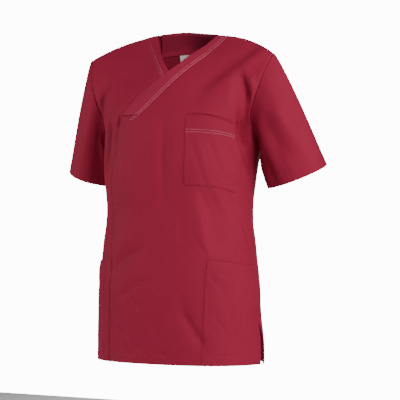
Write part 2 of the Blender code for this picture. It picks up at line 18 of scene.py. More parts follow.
import bpy
import numpy as np
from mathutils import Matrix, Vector

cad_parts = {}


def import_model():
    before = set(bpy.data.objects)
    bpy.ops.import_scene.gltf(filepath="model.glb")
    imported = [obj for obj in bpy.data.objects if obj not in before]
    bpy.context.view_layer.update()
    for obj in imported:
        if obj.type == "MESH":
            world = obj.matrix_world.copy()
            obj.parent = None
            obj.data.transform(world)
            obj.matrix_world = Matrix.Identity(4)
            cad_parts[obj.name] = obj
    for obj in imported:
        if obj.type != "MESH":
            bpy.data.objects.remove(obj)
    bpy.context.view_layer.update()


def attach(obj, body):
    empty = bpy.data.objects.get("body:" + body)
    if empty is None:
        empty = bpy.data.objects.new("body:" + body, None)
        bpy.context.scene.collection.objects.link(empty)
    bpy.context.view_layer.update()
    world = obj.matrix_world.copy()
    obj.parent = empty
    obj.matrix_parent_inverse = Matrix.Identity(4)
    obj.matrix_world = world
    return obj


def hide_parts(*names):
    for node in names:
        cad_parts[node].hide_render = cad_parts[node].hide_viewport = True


LOG = logging.getLogger("tunic")

Array = np.ndarray
MM = 0.001

# Levels of the body form, which start at 0 at the hem, the level where the pieces
# end at the top, and how close two levels count as one.
UNDERARM, YOKE_SEAM, TOP = 0.74, 0.833, 1.0
TOP_END = TOP - 0.0003
HAIR = 1e-9

# The cloth's thickness, how far a second layer stands off, and half a seam's gap.
CLOTH, LAYER, HALF_GAP = 0.0009, 0.0015, 0.00004

# Metres of cloth to a unit of level, at the hem and up a panel's edges. A band is
# narrower than its run round a row, and longer than the height that it climbs.
HEM_PACE, EDGE_PACE = 0.668, 0.67
BAND_SLANT, BAND_CLIMB = 0.83, 1.3

# Heights of levels above the hem, along the cloth.
RULER_LEVELS = (0.0, 0.740, 0.833, 0.880, 1.000)
RULER = (0.0, 0.497, 0.563, 0.616, 0.800)

# Points along a row of stitches, long or short, before it is divided into stitches,
# and how far it stops short of an edge and of a seam, as a distance or a level.
COUNT, SHORT_COUNT = 400, 60
ROW_END, SEAM_ROW_END = 0.002, 0.003


class Side(Enum):
    """The two halves of the body form."""

    FRONT = "front"
    BACK = "back"

    @property
    def other(self) -> Side:
        """The opposite half."""
        return Side.BACK if self is Side.FRONT else Side.FRONT


class Hand(Enum):
    """The wearer's left or right."""

    LEFT = 1
    RIGHT = -1


# ---- numbers -------------------------------------------------------------
def together(*values: Array | float) -> list[Array]:
    """The values as arrays of one shape."""
    return np.broadcast_arrays(*(np.asarray(value, float) for value in values))


def height(level: Array | float) -> Array:
    """How far up the cloth a level is."""
    return np.interp(level, RULER_LEVELS, RULER)


def unit(v: Array) -> Array:
    """Vectors scaled to length one."""
    return v / np.maximum(np.linalg.norm(v, axis=-1, keepdims=True), 1e-12)


def ease(x: Array | float) -> Array:
    """0 to 1, level at both ends."""
    x = np.clip(x, 0.0, 1.0)
    return x * x * (3 - 2 * x)


def bump(distance: Array, reach: float) -> Array:
    """1 at a line, falling away on each side of it."""
    return np.exp(-((distance / reach) ** 2))


def moved(points: Array, outward: Array, by: Array) -> tuple[Array, Array]:
    """Points moved outwards, and their outward directions."""
    return points + outward * by[..., None], outward


def table_at(t: Array, levels: Array, values: Array) -> Array:
    """Vectors read off a table at each level, in straight steps."""
    return np.stack([np.interp(t, levels, values[:, k]) for k in range(3)], -1)


class Curve:
    """Smooth curves through the rows of a table, with no overshoot."""

    def __init__(self, x: Sequence[float], y: Array) -> None:
        """Works out the slopes at the rows.

        Args:
            x: The rows' places, rising.
            y: One line of values for each row.
        """
        self.x, self.y = np.array(x, float), np.array(y, float)
        self.step = np.diff(self.x)
        slope = np.diff(self.y, axis=0) / self.step[:, None]
        self.tangent = np.zeros_like(self.y)
        self.tangent[0], self.tangent[-1] = slope[0], slope[-1]
        w1 = (2 * self.step[1:] + self.step[:-1])[:, None]
        w2 = (self.step[1:] + 2 * self.step[:-1])[:, None]
        same = slope[:-1] * slope[1:] > 0
        before, after = np.where(same, slope[:-1], 1.0), np.where(same, slope[1:], 1.0)
        mean = (w1 + w2) / (w1 / before + w2 / after)
        self.tangent[1:-1] = np.where(same, mean, 0.0)

    def __call__(self, t: Array) -> Array:
        """The values at each t, in a last axis."""
        t = np.asarray(t, float)
        i = np.clip(np.searchsorted(self.x, t, side="right") - 1, 0, len(self.x) - 2)
        h = self.step[i][..., None]
        u = ((t - self.x[i]) / self.step[i])[..., None]
        return (
            (2 * u**3 - 3 * u**2 + 1) * self.y[i]
            + (u**3 - 2 * u**2 + u) * h * self.tangent[i]
            + (3 * u**2 - 2 * u**3) * self.y[i + 1]
            + (u**3 - u**2) * h * self.tangent[i + 1]
        )


# ---- the body form -------------------------------------------------------
@dataclass(frozen=True)
class Row:
    """A row of the body: its end, its middle, how far it turns, how flat it is."""

    t: float
    edge_x: float
    edge_y: float
    edge_z: float
    mid_y: float
    mid_z: float
    turn: float
    flat: float

    def values(self) -> tuple[float, ...]:
        """Everything but t."""
        ends = (self.edge_x, self.edge_y, self.edge_z)
        return (*ends, self.mid_y, self.mid_z, self.turn, self.flat)


ROWS = {
    Side.FRONT: (
        Row(0.00, 0.201, -0.028, -0.7470, -0.166, -0.7450, 90, 1.15),
        Row(0.22, 0.198, -0.030, -0.600, -0.169, -0.6000, 90, 1.15),
        Row(0.40, 0.186, -0.032, -0.480, -0.163, -0.4800, 90, 1.15),
        Row(0.52, 0.178, -0.028, -0.400, -0.160, -0.4000, 90, 1.15),
        Row(0.64, 0.184, -0.020, -0.320, -0.160, -0.3200, 90, 1.30),
        Row(0.74, 0.195, -0.014, -0.250, -0.156, -0.2500, 85, 1.15),
        Row(0.83, 0.193, -0.054, -0.190, -0.144, -0.1850, 64, 1.15),
        Row(0.88, 0.208, -0.062, -0.143, -0.115, -0.1350, 54, 1.10),
        Row(0.92, 0.221, -0.060, -0.108, -0.077, -0.0880, 44, 1.05),
        Row(0.96, 0.230, -0.046, -0.073, -0.044, -0.0435, 34, 1.15),
        Row(1.00, 0.238, -0.028, -0.044, +0.009, +0.0118, 22, 1.30),
    ),
    Side.BACK: (
        Row(0.00, 0.201, -0.028, -0.7470, 0.100, -0.7480, 90, 1.15),
        Row(0.22, 0.198, -0.030, -0.600, 0.095, -0.6000, 90, 1.08),
        Row(0.40, 0.186, -0.032, -0.480, 0.089, -0.4800, 90, 1.15),
        Row(0.52, 0.178, -0.028, -0.400, 0.084, -0.4000, 90, 1.15),
        Row(0.64, 0.184, -0.020, -0.320, 0.090, -0.3200, 90, 1.15),
        Row(0.74, 0.195, -0.014, -0.250, 0.098, -0.2500, 88, 1.15),
        Row(0.83, 0.200, +0.030, -0.190, 0.098, -0.1800, 60, 1.15),
        Row(0.88, 0.212, +0.032, -0.143, 0.094, -0.1250, 52, 1.10),
        Row(0.92, 0.223, +0.024, -0.108, 0.086, -0.0780, 44, 1.05),
        Row(0.96, 0.230, +0.006, -0.064, 0.062, -0.0325, 34, 1.15),
        Row(1.00, 0.238, -0.028, -0.044, 0.009, +0.0118, 22, 1.30),
    ),
}
NECK_LEVELS = (0.84, 0.92, 0.96, 1.0)
NECK_SHARE = (0.0, 0.15, 0.50, 1.0)
WRAP_RISE = (0.0, 0.020, 0.022, 0.0)


@dataclass
class BodyForm:
    """The smooth form that the body's panels lie on, with its creases."""

    creases: dict[Side, tuple[Crease, ...]]
    neck_half_width: float = 0.077
    neck_back_depth: float = 0.052
    neck_back_rise: float = 0.0064
    neck_soften: float = 1.3
    neck_round: float = 1.5
    neck_lean: float = 0.115
    neck_lean_width: float = 0.075
    wrap_bulge_width: float = 0.060
    vent_top: float = 0.155
    vent_spread: float = 0.011
    vent_front: float = 0.005
    vent_back: float = 0.006
    vent_curl: float = 2.45
    vent_reach: float = 6.0
    side_dip: float = 0.0009
    armhole_dip: float = 0.0016
    dip_levels: tuple[float, float] = (0.72, 0.76)
    dip_reach: float = 0.0025
    vent_blend: float = 0.012
    neck_blend: float = 0.003
    probe: tuple[float, float] = (0.004, 0.006)
    ends_blend: float = 0.02
    armhole_blend: float = 0.01
    ridge_span: tuple[float, float, int] = (0.05, 0.24, 60)
    samples: int = 400
    levels: int = 501
    steps: int = 241

    def __post_init__(self) -> None:
        """Tabulates how far round a row each distance lies."""
        self.low, self.high, self.span, self.share = {}, {}, {}, {}
        self.t = np.linspace(0.0, TOP, self.levels)
        turned = np.linspace(0.0, 1.0, self.steps)
        for side, rows in ROWS.items():
            below = [r for r in rows if r.t <= UNDERARM]
            above = [r for r in rows if r.t >= UNDERARM]
            self.low[side] = Curve([r.t for r in below], [r.values() for r in below])
            self.high[side] = Curve([r.t for r in above], [r.values() for r in above])
            self.span[side] = Curve([r.t for r in rows], [r.values() for r in rows])
            t_all, turned_all = np.broadcast_arrays(self.t[:, None], turned[None, :])
            points = self._turned(side, turned_all, t_all)
            step = np.linalg.norm(np.diff(points, axis=1), axis=-1)
            gone = np.concatenate([np.zeros((self.levels, 1)), np.cumsum(step, axis=1)], 1)
            even = np.array([np.interp(turned, g / g[-1], turned) for g in gone])
            self.share[side] = (gone[:, -1], even)

    def _turned(self, side: Side, turned: Array, t: Array) -> Array:
        """Points a share of the way round their rows, on the wearer's left.

        Args:
            side: Front or back.
            turned: Share of the row's turn, 0 to 1.
            t: Levels.

        Returns:
            The points, in a last axis of three.
        """
        row = self.span[side](t)
        ends = np.where((t <= UNDERARM)[..., None], self.low[side](t), self.high[side](t))
        edge_x, edge_y, edge_z = ends[..., 0], ends[..., 1], ends[..., 2]
        mid_y, mid_z, flat = row[..., 3], row[..., 4], row[..., 6]
        last = np.radians(row[..., 5])
        angle = turned * last
        x = edge_x * np.sin(angle) / np.sin(last)
        inward = 1 - ((1 - np.cos(angle)) / (1 - np.cos(last))) ** flat
        y = edge_y + (mid_y - edge_y) * inward
        z = edge_z + (mid_z - edge_z) * inward
        down_vent = np.clip((self.vent_top - t) / self.vent_top, 0.0, 1.0)
        spread = np.sin(self.vent_curl * down_vent) * turned**self.vent_reach
        if side is Side.BACK:
            neck = np.interp(t, NECK_LEVELS, NECK_SHARE)
            wide = self.neck_half_width * (1 + self.neck_soften * (1 - neck))
            dip = np.clip(1 - (x / wide) ** 2, 0.0, 1.0) ** (self.neck_round - neck)
            y = y + self.neck_back_depth * neck * dip
            z = z + self.neck_back_rise * neck * dip
            x = x + self.vent_spread * spread
            y = y + self.vent_back * spread
        else:
            wrap = np.interp(t, NECK_LEVELS, WRAP_RISE)
            x = x + self.vent_front * spread
            y = y - wrap * bump(x, self.wrap_bulge_width)
        return np.stack([x, y, z], -1)

    def length(self, side: Side, t: Array | float) -> Array:
        """Distance round a row from its middle to its end."""
        return np.interp(t, self.t, self.share[side][0])

    def place(self, side: Side, s: Array, t: Array) -> Array:
        """Points of the plain form.

        Args:
            side: Front or back.
            s: Distances round the rows, wearer's left positive.
            t: Levels, 0 at the hem and 1 at the shoulder.

        Returns:
            The points, in a last axis of three.
        """
        s, t = together(s, t)
        t = np.clip(t, 0.0, TOP)
        part = np.clip(np.abs(s) / self.length(side, t), 0.0, 1.0)
        table = self.share[side][1]
        row, column = t * (self.levels - 1), part * (self.steps - 1)
        i = np.minimum(row.astype(int), self.levels - 2)
        j = np.minimum(column.astype(int), self.steps - 2)
        a, b = row - i, column - j
        turned = (1 - a) * ((1 - b) * table[i, j] + b * table[i, j + 1]) + a * (
            (1 - b) * table[i + 1, j] + b * table[i + 1, j + 1]
        )
        points = self._turned(side, turned, t)
        x = points[..., 0] * np.where(s < 0, -1.0, 1.0)
        points[..., 0] = x
        lean = self.neck_lean * x * bump(x, self.neck_lean_width)
        points[..., 2] -= lean * np.interp(t, NECK_LEVELS, NECK_SHARE)
        return points

    def normal(self, side: Side, s: Array, t: Array) -> Array:
        """Outward normals of the plain form."""
        s, t = together(s, t)
        (ds, dt), end = self.probe, self.length(side, t)
        along = self.place(side, np.minimum(s + ds, end), t)
        along = along - self.place(side, np.maximum(s - ds, -end), t)
        up = self.place(side, s, np.minimum(t + dt, TOP))
        up = up - self.place(side, s, np.maximum(t - dt, 0.0))
        return unit(np.cross(along, up)) * (1 if side is Side.FRONT else -1)

    def pace(self, side: Side, s: Array, t: Array) -> Array:
        """Metres of cloth to each unit of level."""
        half = self.probe[1] / 2
        low, high = np.maximum(t - half, 0.0), np.minimum(t + half, TOP)
        run = self.place(side, s, high) - self.place(side, s, low)
        return np.linalg.norm(run, axis=-1) / (high - low)

    def length_at_x(self, side: Side, x: float, t: float) -> float:
        """Distance round a row to where it is x from the middle plane."""
        s = np.linspace(0.0, float(self.length(side, t)), self.samples)
        return float(np.interp(x, self.place(side, s, np.full_like(s, t))[:, 0], s))

    def meet(self, sleeve: Sleeve) -> None:
        """Tabulates the directions that cloth walls share where pieces meet.

        Args:
            sleeve: The wearer's-left sleeve, whose cap gives the armhole's share.
        """
        share = (TOP - np.maximum(self.t, UNDERARM)) / (TOP - UNDERARM) / 2
        near_ends = np.clip(1 - (self.t - UNDERARM) / self.ends_blend, 0, 1)
        near_ends = near_ends + np.clip(1 - (TOP - self.t) / self.ends_blend, 0, 1)
        armhole = np.clip((self.t - UNDERARM) / self.armhole_blend, 0.0, 1.0)
        self.rims = {}
        for side in Side:
            own = self.normal(side, self.length(side, self.t), self.t)
            facing = self.normal(side.other, self.length(side.other, self.t), self.t)
            cap = sleeve.cap_normal(share if side is Side.FRONT else 1 - share)
            total = own + facing * near_ends[:, None] + cap * armhole[:, None]
            self.rims[side] = unit(total)
        self.ridge_x = np.linspace(*self.ridge_span)
        total = 0.0
        for side in Side:
            s = np.array([self.length_at_x(side, x, TOP) for x in self.ridge_x])
            total = total + self.normal(side, s, np.full_like(s, TOP))
        self.ridge = unit(total)

    def surface(
        self, side: Side, s: Array, t: Array, relief: Array | float = 0.0
    ) -> tuple[Array, Array]:
        """The cloth's right side, creased and sewn in at sides and shoulders.

        Args:
            side: Front or back.
            s: Distances round the rows.
            t: Levels.
            relief: How far each place stands out beyond the creases.

        Returns:
            The points, and the outward directions of the wall there.
        """
        s, t = together(s, t)
        points, normals = self.place(side, s, t), self.normal(side, s, t)
        beside = self.length(side, t) - np.abs(s)
        below = (TOP - t) * self.pace(side, s, t)
        rise = np.zeros_like(s)
        for crease in self.creases[side]:
            calm = ease(beside / crease.calm) * ease(below / (crease.calm * 2))
            rise += crease.rise_at(s, points[..., 2]) * calm
        hand = np.where(s < 0, -1.0, 1.0)
        rim = table_at(t, self.t, self.rims[side])
        rim[..., 0] *= hand
        ridge = table_at(np.abs(points[..., 0]), self.ridge_x, self.ridge)
        ridge[..., 0] *= hand
        sewn = bump(beside, self.dip_reach) * ease((t - self.vent_top) / self.vent_blend)
        dip = np.interp(t, self.dip_levels, (self.side_dip, self.armhole_dip))
        off_neck = np.abs(points[..., 0]) - self.neck_half_width
        shoulder = bump(below, self.dip_reach) * ease(off_neck / self.neck_blend + 1)
        points = points + normals * (rise + relief)[..., None]
        points = points - rim * (sewn * dip)[..., None]
        points = points - ridge * (shoulder * (1 - sewn) * self.side_dip)[..., None]
        plain = (1 - sewn) * (1 - shoulder)
        out = normals * plain[..., None] + rim * sewn[..., None]
        return points, unit(out + ridge * (shoulder * (1 - sewn))[..., None])


@dataclass(frozen=True)
class Crease:
    """A soft trough (or ridge) on a panel, along a bowed line, in millimetres.

    Places are distances round the panel and heights. Its far side is the steeper
    one where it leans, and it calms down within a distance of the panel's ends.
    """

    s0: float
    z0: float
    s1: float
    z1: float
    width: float
    rise: float
    bow: float = 0.0
    lean: float = 0.0
    calm: float = 0.007
    fade: float = 0.30

    def rise_at(self, s: Array, z: Array) -> Array:
        """How far the crease moves each place outwards, in metres."""
        start = np.array([self.s0, self.z0])
        run = np.array([self.s1, self.z1]) - start
        length = float(np.linalg.norm(run))
        run = run / length
        ds, dz = s / MM - start[0], z / MM - start[1]
        along = ds * run[0] + dz * run[1]
        off = run[0] * dz - run[1] * ds
        u = np.clip(along / length, 0.0, 1.0)
        off = off - self.bow * 4 * u * (1 - u)
        wide = self.width * (1 + self.lean * np.tanh(off / self.width))
        fade = self.fade * length
        ends = ease(0.5 + along / (2 * fade)) * ease(0.5 + (length - along) / (2 * fade))
        return self.rise * MM * ends * bump(off, wide)


def broad(s0: float, z0: float, s1: float, z1: float, width: float, rise: float) -> Crease:
    """One of the large folds, which the solids have too."""
    length = math.hypot(s1 - s0, z1 - z0)
    return Crease(s0, z0, s1, z1, width, rise, calm=0.022, fade=30.0 / length)


BROAD_FOLDS = {
    Side.FRONT: (
        broad(208, -62, 92, -136, 24, -5),
        broad(205, -98, 120, -160, 24, +4),
        broad(180, -112, 218, -244, 16, -8),
        broad(-182, -115, -212, -230, 16, -7),
        broad(135, -365, 158, -480, 20, -3.5),
        broad(94, -365, 130, -500, 22, +2.5),
        broad(20, -196, 26, -390, 16, -2.8),
        broad(74, -630, 124, -700, 15, -2.8),
        broad(-31, -480, -114, -540, 24, -4),
        broad(-146, -200, -160, -290, 18, -5),
    ),
    Side.BACK: (
        broad(182, -130, 205, -240, 22, -7),
        broad(-182, -130, -205, -240, 22, -7),
        broad(60, -360, 120, -500, 26, -5),
        broad(-75, -330, -105, -480, 26, -5),
        broad(-10, -400, -20, -640, 24, +4),
    ),
}
FINE_CREASES = {
    Side.FRONT: (
        # the yoke, from the shoulder to the neck band
        Crease(222, -42, 118, -130, 18, +10.5),
        Crease(202, -18, 94, -112, 16, -5.0),
        Crease(206, -74, 223, -93, 4, +0.8),
        Crease(203, -90, 219, -106, 4, +0.7),
        Crease(150, -35, 120, -75, 9, -1.2),
        Crease(-205, -50, -120, -95, 10, -1.6),
        Crease(-196, -78, -128, -118, 9, +1.2),
        Crease(-150, -110, -118, -160, 8, -1.0),
        # beside the armholes
        Crease(179, -98, 226, -246, 11, -10.0, bow=8, lean=-0.35),
        Crease(196, -92, 220, -160, 8, +3.0, bow=4),
        Crease(205, -202, 256, -308, 13, -16.0, bow=-3),
        Crease(168, -150, 196, -226, 14, +1.6, bow=5),
        Crease(-180, -108, -226, -200, 8, -4.0, bow=4),
        Crease(-162, -118, -204, -206, 10, +2.0, bow=3),
        Crease(206, -215, 232, -275, 8, -1.5),
        # the chest and its pocket
        Crease(22, -190, 24, -290, 8, -2.0),
        Crease(24, -280, 28, -390, 9, -1.8),
        Crease(48, -200, 52, -330, 10, +1.0),
        Crease(-4, -200, 2, -320, 10, +0.8),
        Crease(-4, -235, 6, -330, 12, +1.2),
        Crease(88, -242, 126, -350, 6, -1.0, bow=2),
        Crease(104, -240, 142, -350, 7, +0.8),
        Crease(126, -235, 170, -331, 6, -0.9, bow=-2),
        Crease(148, -250, 182, -322, 6, +0.6),
        Crease(176, -259, 194, -284, 4, -1.2),
        Crease(194, -284, 223, -324, 4, -1.3, bow=2),
        Crease(186, -262, 214, -300, 6, +0.9),
        Crease(-150, -188, -160, -292, 11, -7.0, bow=2, lean=-0.2),
        Crease(-109, -184, -114, -250, 5, -3.4),
        Crease(-126, -196, -134, -280, 8, +1.4),
        Crease(-60, -250, -78, -350, 12, -1.3),
        # the waist
        Crease(94, -362, 134, -502, 9, +1.0, bow=3),
        Crease(112, -352, 130, -398, 6, -1.5),
        Crease(130, -398, 152, -470, 8, -1.2, bow=-2),
        Crease(96, -446, 128, -503, 5, -1.1),
        Crease(108, -450, 138, -500, 6, +0.7),
        Crease(146, -355, 185, -425, 8, +1.7),
        Crease(172, -350, 205, -410, 7, -1.3),
        Crease(224, -432, 259, -506, 7, -1.7),
        Crease(206, -430, 240, -500, 8, +1.2),
        Crease(213, -478, 260, -509, 6, -1.3),
        Crease(60, -395, 76, -470, 10, -1.4),
        Crease(10, -420, 4, -520, 12, -1.1),
        Crease(-80, -370, -96, -450, 11, -1.5),
        Crease(-165, -360, -190, -450, 11, -1.8),
        Crease(-195, -330, -222, -400, 9, -1.4),
        # the skirt
        Crease(-31, -488, -115, -536, 11, -3.4, bow=-4),
        Crease(-36, -508, -108, -553, 11, +2.0, bow=-4),
        Crease(-20, -556, -86, -596, 8, -2.2),
        Crease(-34, -556, 2, -568, 6, -1.7),
        Crease(-100, -664, -72, -680, 7, -1.9),
        Crease(-52, -700, -24, -716, 7, -1.7),
        Crease(22, -716, 48, -738, 7, -1.7),
        Crease(74, -626, 124, -700, 12, -3.6, lean=-0.45, fade=.2),
        Crease(84, -610, 98, -650, 9, -1.6),
        Crease(60, -560, 84, -640, 10, -1.3),
        Crease(139, -549, 170, -580, 5, -1.5),
        Crease(150, -540, 186, -566, 5, +1.0),
        Crease(241, -582, 272, -597, 5, -1.1),
        Crease(244, -629, 273, -653, 6, -1.3),
        Crease(180, -600, 196, -690, 9, -1.4),
        Crease(150, -640, 178, -672, 6, -1.2),
        Crease(146, -604, 176, -620, 6, +0.9),
        # puckers beside the far pocket and above the hem
        Crease(-142, -700, -132, -728, 5, +2.2),
        Crease(-150, -696, -146, -730, 4, -2.5),
        Crease(-118, -640, -104, -700, 6, -2.0),
        Crease(-92, -676, -66, -722, 7, -2.0),
        Crease(-62, -596, -28, -620, 8, -1.9),
        Crease(-6, -640, 20, -690, 9, -1.5),
        Crease(-140, -560, -170, -600, 7, -2.2),
        Crease(-200, -570, -250, -610, 9, -2.4),
        Crease(-160, -650, -180, -720, 9, -2.2),
    ),
    Side.BACK: (
        # the yoke and the armholes
        Crease(178, -112, 226, -205, 8, -4.0, bow=-3),
        Crease(160, -118, 200, -212, 11, +2.0, bow=-3),
        Crease(-176, -108, -228, -200, 8, -3.6, bow=3),
        Crease(-158, -120, -204, -206, 10, +1.8, bow=3),
        Crease(160, -62, 96, -112, 9, -1.6, bow=3),
        Crease(-168, -58, -90, -104, 10, -1.8, bow=-2),
        Crease(50, -70, 62, -130, 10, -1.0),
        Crease(-30, -66, -44, -140, 11, -1.1),
        # from the armholes to the small of the back
        Crease(196, -226, 122, -304, 10, -2.0, bow=5),
        Crease(184, -250, 118, -322, 9, +1.2, bow=5),
        Crease(-198, -232, -108, -330, 11, -1.9, bow=-5),
        Crease(-150, -262, -86, -352, 9, +1.1, bow=-4),
        Crease(42, -196, 30, -318, 12, -1.2),
        Crease(-36, -186, -44, -300, 11, -1.0),
        # the waist
        Crease(176, -376, 66, -428, 9, -1.9, bow=6),
        Crease(168, -398, 72, -446, 8, +1.2, bow=6),
        Crease(-160, -392, -52, -452, 9, -1.8, bow=-5),
        Crease(-120, -430, -34, -480, 8, -1.2, bow=-3),
        Crease(20, -420, 34, -500, 9, -1.4),
        Crease(205, -420, 170, -490, 9, -1.5),
        Crease(-212, -440, -176, -520, 9, -1.4),
        # the skirt
        Crease(80, -560, 122, -690, 9, -1.9, bow=2),
        Crease(96, -556, 138, -680, 10, +1.3),
        Crease(-92, -580, -70, -700, 9, -1.6),
        Crease(14, -600, 26, -716, 10, +1.5),
        Crease(-150, -560, -190, -640, 10, -1.6, bow=3),
        Crease(190, -560, 226, -630, 9, -1.5),
        Crease(-20, -690, 10, -728, 7, -1.0),
    ),
}
ALL_CREASES = {side: BROAD_FOLDS[side] + FINE_CREASES[side] for side in Side}

# Places on a sleeve are distances round it from the shoulder, front first, and
# distances down it from the armhole.
NEAR_SLEEVE = (
    Crease(112, -96, 98, -216, 16, -5.0),
    Crease(74, -100, 58, -214, 16, +4.5),
    Crease(150, -176, 144, -262, 12, -3.4),
    Crease(96, -60, 60, -150, 11, +1.2, bow=3),
    Crease(100, -186, 92, -250, 9, +1.4),
    Crease(205, -50, 158, -240, 11, -3.0),
    Crease(20, -70, 42, -200, 12, -1.2),
    Crease(60, -150, 66, -240, 10, -1.0),
    Crease(300, -28, 344, -190, 13, -3.2, bow=-4),
    Crease(330, -30, 372, -170, 12, +1.6),
    Crease(250, -60, 272, -230, 11, -2.2),
)
FAR_SLEEVE = (
    Crease(150, -20, 150, -262, 22, -8.0, bow=-6),
    Crease(112, -30, 92, -240, 14, +2.0, bow=4),
    Crease(205, -60, 168, -230, 11, -2.6),
    Crease(30, -80, 48, -210, 12, -1.1),
    Crease(296, -30, 338, -180, 14, -2.9, bow=-3),
    Crease(256, -70, 280, -220, 11, -2.0),
    Crease(392, -60, 380, -190, 12, -1.2),
)

# ---- lines on the body ---------------------------------------------------
@dataclass(frozen=True)
class Line:
    """A line over the front: its distance round the front at rising levels."""

    levels: tuple[float, ...]
    distances: tuple[float, ...]

    def at(self, t: Array | float) -> Array:
        """The line's distance round the front at each level."""
        return np.interp(t, self.levels, self.distances)


BAND_LEVELS = (0.833, 0.860, 0.880, 0.900, 0.915, 0.940, 0.960, 0.980, 1.000)
PANEL_LEVELS = (0.0, 0.356, 0.607, 0.740, 0.833)
OVER_SEAM = Line(
    BAND_LEVELS,
    (-0.0480, -0.0190, 0.0010, 0.0200, 0.0335, 0.0570, 0.0790, 0.0950, 0.1110),
)
OVER_EDGE = Line(
    BAND_LEVELS,
    (-0.1010, -0.0790, -0.0620, -0.0340, -0.0100, 0.0205, 0.0390, 0.0620, 0.0800),
)
UNDER_SEAM = Line(
    BAND_LEVELS,
    (0.0620, 0.0395, 0.0220, 0.0040, -0.0130, -0.0400, -0.0640, -0.0900, -0.1110),
)
UNDER_EDGE = Line(
    BAND_LEVELS,
    (0.0900, 0.0670, 0.0500, 0.0310, 0.0150, -0.0110, -0.0330, -0.0570, -0.0800),
)
PANEL_SEAM = Line(PANEL_LEVELS, (-0.1260, -0.1220, -0.1260, -0.1080, -0.1010))
CORNER = Line(PANEL_LEVELS, (-0.0600, -0.0580, -0.0520, -0.0500, -0.0480))
POCKET_IN = Line(PANEL_LEVELS, (0.1190, 0.1300, 0.0770, 0.0760, 0.0735))
POCKET_OUT = Line(PANEL_LEVELS, (0.2000, 0.2000, 0.1960, 0.1940, 0.1900))
RIGHT_POCKET_IN = Line(PANEL_LEVELS[:2], (0.1263, 0.1223))

# How far the chest pocket's outer end droops at rising levels, and how late.
CHEST_MARKS, CHEST_DROPS = (0.607, 0.740, 0.833), (0.025, 0.010, 0.030)
CHEST_BEND = 2.6

# The level of the hip pockets' mouths, and their outer ends' droop.
HIP_TOP = PANEL_LEVELS[1]
HIP_MARKS, HIP_DROPS = (0.155, HIP_TOP), (0.0, 0.024)

# How deep the under layer lies, how far beside the wrap's edge it starts to go in
# and over what distance, and the levels where it starts and ends to do so.
WRAP_DEPTH, WRAP_MARGIN, WRAP_BLEND = 0.0035, 0.006, 0.018
WRAP_START, WRAP_CLIMB = 0.788, 0.040


def under_depth(s: Array, t: Array) -> Array:
    """How far the under layer has gone in beneath the wrap."""
    share = ease((s - OVER_EDGE.at(t) + WRAP_MARGIN) / WRAP_BLEND + 1.0)
    return WRAP_DEPTH * share * ease((t - WRAP_START) / WRAP_CLIMB)


# ---- sewing --------------------------------------------------------------
def gathers(along: Array) -> Array:
    """The uneven gathers along a row of stitches, about -1 to 1."""
    waves = ((11.7, 0.0, 0.5), (8.3, 1.3, 0.4), (20.5, 0.4, 0.3))
    turn = 2 * np.pi * along
    return sum(share * np.sin(turn / (length * MM) + lag) for length, lag, share in waves)


@dataclass(frozen=True)
class Sewn:
    """A sewn edge: how the cloth dips, thickens and gathers beside it.

    The rows of stitches are given by their distances from the edge, and the welt
    is how far the folded cloth under them reaches.
    """

    rows: tuple[float, ...] = ()
    welt: float = 0.0
    dip: float = 0.0
    rise: float = 0.0004
    groove: float = 0.0003
    gather: float = 0.0002

    GATHER_REACH: ClassVar[float] = 0.006
    WELT_STEP: ClassVar[float] = 0.0014
    GROOVE_REACH: ClassVar[float] = 0.0011
    DIP_REACH: ClassVar[float] = 0.0024
    EDGE: ClassVar[float] = 0.0002

    def relief(self, distance: Array, along: Array) -> Array:
        """How far the cloth stands out.

        Args:
            distance: Distances from the sewn edge.
            along: Distances along it.

        Returns:
            The relief at each place.
        """
        beyond = distance - max(self.rows, default=0.0)
        out = self.gather * gathers(along) * bump(beyond, self.GATHER_REACH)
        if self.welt:
            out = out + self.rise * ease((self.welt - distance) / self.WELT_STEP + 0.5)
        for row in self.rows:
            out = out - self.groove * bump(distance - row, self.GROOVE_REACH)
        out = out - self.dip * bump(distance, self.DIP_REACH)
        return out * ease(distance / self.EDGE + 1.5)


PLAIN_SEAM = Sewn(dip=0.0009)
STITCHED_SEAM = Sewn(rows=(0.0020, 0.0080), welt=0.0095, dip=0.0008, rise=0.0003)
HEM = Sewn(rows=(0.0185,), welt=0.0200, rise=0.00045)
CUFF_HEM = Sewn(rows=(0.0205,), welt=0.0220, rise=0.00045)
VENT_HEM = Sewn(rows=(0.0100,), welt=0.0115, rise=0.0003)
BAND = Sewn(rows=(0.0020, 0.0080), dip=0.0010, gather=0.00012)
POCKET_EDGE = Sewn(rows=(0.0020, 0.0080), welt=0.0095, rise=0.0003)
CHEST_MOUTH = Sewn(rows=(0.0315, 0.0375), welt=0.0390, rise=0.0005, gather=0.00025)
HIP_MOUTH = Sewn(rows=(0.0220,), welt=0.0235, rise=0.0005, gather=0.00025)
NECK_EDGE = Sewn(rows=(0.0075,), dip=0.0, groove=0.0004, gather=0.00015)


# ---- meshes --------------------------------------------------------------
Materials = tuple[bpy.types.Material, bpy.types.Material]
NEAR_SEWING = (0.0, 0.0007, 0.0015, 0.0024, 0.0036, 0.0052)
CLOSEST = 0.00045
SHARP = math.radians(50)


def graded(length: float, step: float, sewn: Sequence[float]) -> Array:
    """Places along a length, closer together beside sewn places.

    Args:
        length: The whole length.
        step: The widest spacing.
        sewn: Places that get finer spacing on both sides.

    Returns:
        Places from 0 to the length.
    """
    marks = {0.0, length}
    for place in sewn:
        for off in NEAR_SEWING:
            marks |= {x for x in (place - off, place + off) if CLOSEST < x < length - CLOSEST}
    out = [0.0]
    for mark in sorted(marks)[1:]:
        if mark - out[-1] > CLOSEST or mark == length:
            count = max(1, math.ceil((mark - out[-1]) / step))
            out += list(np.linspace(out[-1], mark, count + 1)[1:])
    return np.array(out)


